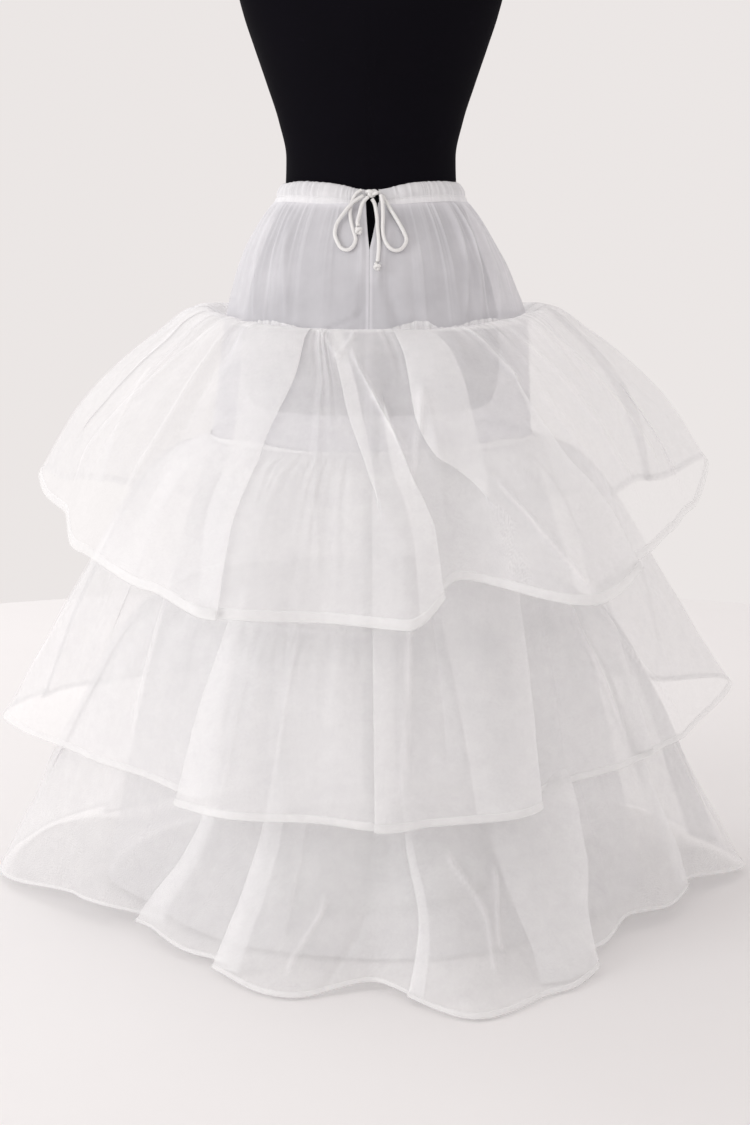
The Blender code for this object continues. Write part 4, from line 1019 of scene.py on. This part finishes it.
def flounceStations(tier):
    # closer together in the pleats
    fine = np.linspace(-180.0, 180.0, 7201)
    weight = np.ones_like(fine)
    for pleat in tier["pleats"]:
        weight += 2.4 * np.exp(-(signedTurn(fine, pleat[1]) / (0.8 * pleat[2])) ** 2)
    for crease in tier["creases"]:
        middle = sum(row[1] for row in crease[2]) / len(crease[2])
        weight += 1.2 * np.exp(-(signedTurn(fine, middle) / 4.0) ** 2)
    total = np.concatenate(([0.0], np.cumsum((weight[1:] + weight[:-1]) / 2)))
    return np.interp(np.linspace(0.0, total[-1], tier["columns"] + 1), total, fine)


def flounceSurface(tier, parts):
    stations = flounceStations(tier)[None, :]
    part = parts[:, None]
    radius, height, angle = flouncePoint(tier, stations, part)
    turn = np.radians(stations)
    seed = tier["seed"]
    # fine gathers, uneven, dying out down the cloth
    wander = turn + 0.30 * np.sin(5 * turn + seed) / 5 + 0.5 * np.sin(13 * turn + 2 * seed) / 13
    wander = wander + 0.06 * part * np.sin(9 * turn + 3 * seed)
    fine = np.sin(wander * tier["fineGathers"]) * (0.6 + 0.4 * np.sin(27 * turn + seed) * np.sin(11 * turn))
    calm = pleatCalm(tier, stations, part)
    fine = fine * calm
    uneven = np.sin(8 * turn + seed) * np.sin(19 * turn + 2 * seed)
    reach = drape["gatherReach"] + drape["reachSwing"] * uneven
    fade = np.exp(-(part / reach) ** 1.4) * ease(part / 0.02)
    radius = radius + tier["fineDepth"] * fine * fade
    half = np.sin(wander * tier["fineGathers"] / 2 + 1.1) * calm
    longFade = np.exp(-(part / (2.2 * reach)) ** 2) * ease(part / 0.03)
    radius = radius + 0.7 * tier["fineDepth"] * half * longFade
    # listed creases, each with a whiter line where the cloth doubles
    lines = 0.0
    for depth, width, rows in tier["creases"]:
        places = [row[0] for row in rows]
        middle = throughRows(places, [row[1] for row in rows], part)
        away = np.radians(signedTurn(angle, middle)) * radius
        span = places[-1] - places[0]
        along = ease((part - places[0] + 0.04) / (0.25 * span))
        along = along * ease((places[-1] + 0.04 - part) / (0.25 * span))
        radius = radius + depth * np.exp(-np.abs(away) / width) * along
        if depth > drape["deepCrease"]:
            lines = lines + np.exp(-(away / drape["creaseLine"]) ** 2) * along
    # soft buckles and crisp dents of stiff net
    points = polar(angle, radius, height)
    loose = ease(part / 0.25)
    dents = 0.35 - np.abs(noiseGrid(points, drape["dentSize"], seed + 5))
    buckle = noiseGrid(points, drape["buckleSize"], seed) + drape["dentShare"] * dents
    radius = radius + tier["crinkle"] * buckle * loose
    points = polar(angle, radius, height)
    density = 1 + fade * tier["gatherCover"] * (1 + 0.8 * fine)
    density = density + drape["seamCover"] * np.exp(-(part / drape["seamReach"]))
    density = density + drape["creaseCover"] * lines
    return points, density


def addHeading(tier, points, density):
    # the gathered cloth's top edge, standing up past its seam
    angle = np.degrees(np.arctan2(points[:1, :, 0], -points[:1, :, 1]))
    rows = tier["heading"] + [(tier["heading"][0][0] + 360, tier["heading"][0][1])]
    turned = rows[0][0] + (angle - rows[0][0]) % 360
    lift = throughRows([row[0] for row in rows], [row[1] for row in rows], turned)
    turn = np.radians(angle)
    ripple = np.sin(turn * tier["fineGathers"] + 4 * np.sin(6 * turn)) * np.sin(turn * 31 + tier["seed"])
    share = np.array(drape["headRows"])[:, None]
    rise = (lift + drape["headLeast"] + drape["headRipple"] * (1 + ripple)) * share
    out = (drape["headFlare"] + drape["flareRipple"] * ripple) * share - tier["headSlope"] * rise
    away = points[:1] * (1, 1, 0)
    away = away / np.linalg.norm(away, axis=-1, keepdims=True)
    heading = points[:1] + away * out[..., None] + np.array([0, 0, 1.0]) * rise[..., None]
    thick = np.broadcast_to(tier["headCover"] + drape["headUneven"] * ripple, heading.shape[:2])
    return np.concatenate((heading, points)), np.concatenate((thick, density))


def tapeShare(tier):
    # the tape's width as a share of the flounce's drop
    return tier["tape"] / (tier["seam"] - tier["folds"][0][2])


def addFlounce(tier, replaced, cloth):
    netEnd = 1.0 - drape["tapeOverlap"] * tapeShare(tier)
    parts = np.linspace(0, 1, tier["rows"] + 1) ** 1.15 * netEnd
    points, density = flounceSurface(tier, parts)
    if "heading" in tier:
        points, density = addHeading(tier, points, density)
    across = runLength(points, 1)
    across = across - across[:, across.shape[1] // 2, None]  # the weave runs straight down the front
    uvMap = np.stack((across, runLength(points, 0)), axis=-1)
    mesh, bm = bendGrid(tier["name"], points, uvMap, wraps=True, density=density)
    piece = finishPiece(tier["name"], mesh, bm, cloth, replaced)
    hem = float(runLength(points[-1:], 1)[0, -1])
    slant = float(runLength(points, 0)[-1].mean())
    print(f"  {tier['name']} hem {hem:.3f} m, slant {slant:.3f} m")
    return piece


def addHemTape(tier):
    # satin tape folded over the hem: up the outside, round the edge, down the inside
    wide = tapeShare(tier)
    edge, middle, hem = flounceSurface(tier, np.array([1 - wide, 1 - 0.5 * wide, 1.0]))[0]
    normal = surfaceNormals(np.stack((edge, middle, hem)))[1]
    reach = drape["tapeSmooth"]
    padded = np.concatenate((normal[-reach - 1:-1], normal, normal[1:reach + 1]))
    normal = sum(padded[k:k + len(normal)] for k in range(2 * reach + 1))
    normal = normal / np.linalg.norm(normal, axis=-1, keepdims=True)
    sheet = np.stack([hem + (edge - hem) * up + normal * off for up, off in drape["tapeSection"]])
    across = np.broadcast_to(runLength(sheet[:1], 1), sheet.shape[:2])
    uvMap = np.stack((across, runLength(sheet, 0)), axis=-1)
    mesh, bm = bendGrid(tier["tapeName"], sheet, uvMap, wraps=True)
    piece = finishPiece(tier["tapeName"], mesh, bm, satinTape, (tier["node"] + "_binding",))
    unfolded = float(runLength(sheet, 0)[-1].mean())


underPiece = addFlounce(underNet, ("under_layer",), underCloth)
for tier in (upperFlounce, middleFlounce, lowerFlounce):
    flounce = addFlounce(tier, (tier["node"] + "_net",), netCloth)
    addHemTape(tier)
print("flounces hung and bound")


# floor, room light and lamps
studio = {
    "floorTone": (0.87, 0.855, 0.855), "floorDarker": 0.965, "floorRadius": 2.2,
    "floorGrain": {"Scale": 60.0, "Patches": 2.2}, "roomTone": (0.85, 0.812, 0.80), "roomStrength": 0.98,
    # name, place, size, watts and colour
    "lamps": [("windowLamp", (-3.2, -1.8, 1.9), 2.2, 46.0, (0.98, 0.99, 1.0)),
              ("fillLamp", (2.2, -3.0, 2.4), 2.0, 2.0, (1.0, 0.98, 0.97)),
              ("backLamp", (-1.8, 2.2, 2.4), 2.0, 22.0, (0.98, 0.99, 1.0))],
    "lampAim": (0.0, 0.0, 0.55),
}


def addStudio():
    mesh = bpy.data.meshes.new("studioFloor")
    bm = bmesh.new()
    bmesh.ops.create_circle(bm, cap_ends=True, segments=96, radius=studio["floorRadius"])
    bm.to_mesh(mesh)
    bm.free()
    floor = bpy.data.objects.new("studioFloor", mesh)
    bpy.context.scene.collection.objects.link(floor)
    material, tree, shader = newMaterial("studioFloorPaint", {"Roughness": 0.75, "Specular IOR Level": 0.2})
    grain = placeGroup(tree, fineGrain, studio["floorGrain"])
    low = tuple(studio["floorDarker"] * part for part in studio["floorTone"])
    tone = twoTones(tree, grain.outputs["Patch"], low, studio["floorTone"])
    tree.links.new(tone, shader.inputs["Base Color"])
    mesh.materials.append(material)
    world = bpy.data.worlds.new("studioRoom")
    world.use_nodes = True
    light = world.node_tree.nodes["Background"]
    light.inputs["Color"].default_value = (*studio["roomTone"], 1)
    light.inputs["Strength"].default_value = studio["roomStrength"]
    bpy.context.scene.world = world
    for name, place, size, power, tone in studio["lamps"]:
        data = bpy.data.lights.new(name, "AREA")
        data.size, data.energy, data.color = size, power, tone
        lamp = bpy.data.objects.new(name, data)
        lamp.location = place
        aim = Vector(studio["lampAim"]) - Vector(place)
        lamp.rotation_euler = aim.to_track_quat("-Z", "Y").to_euler()
        bpy.context.scene.collection.objects.link(lamp)


addStudio()
print("studio lit")
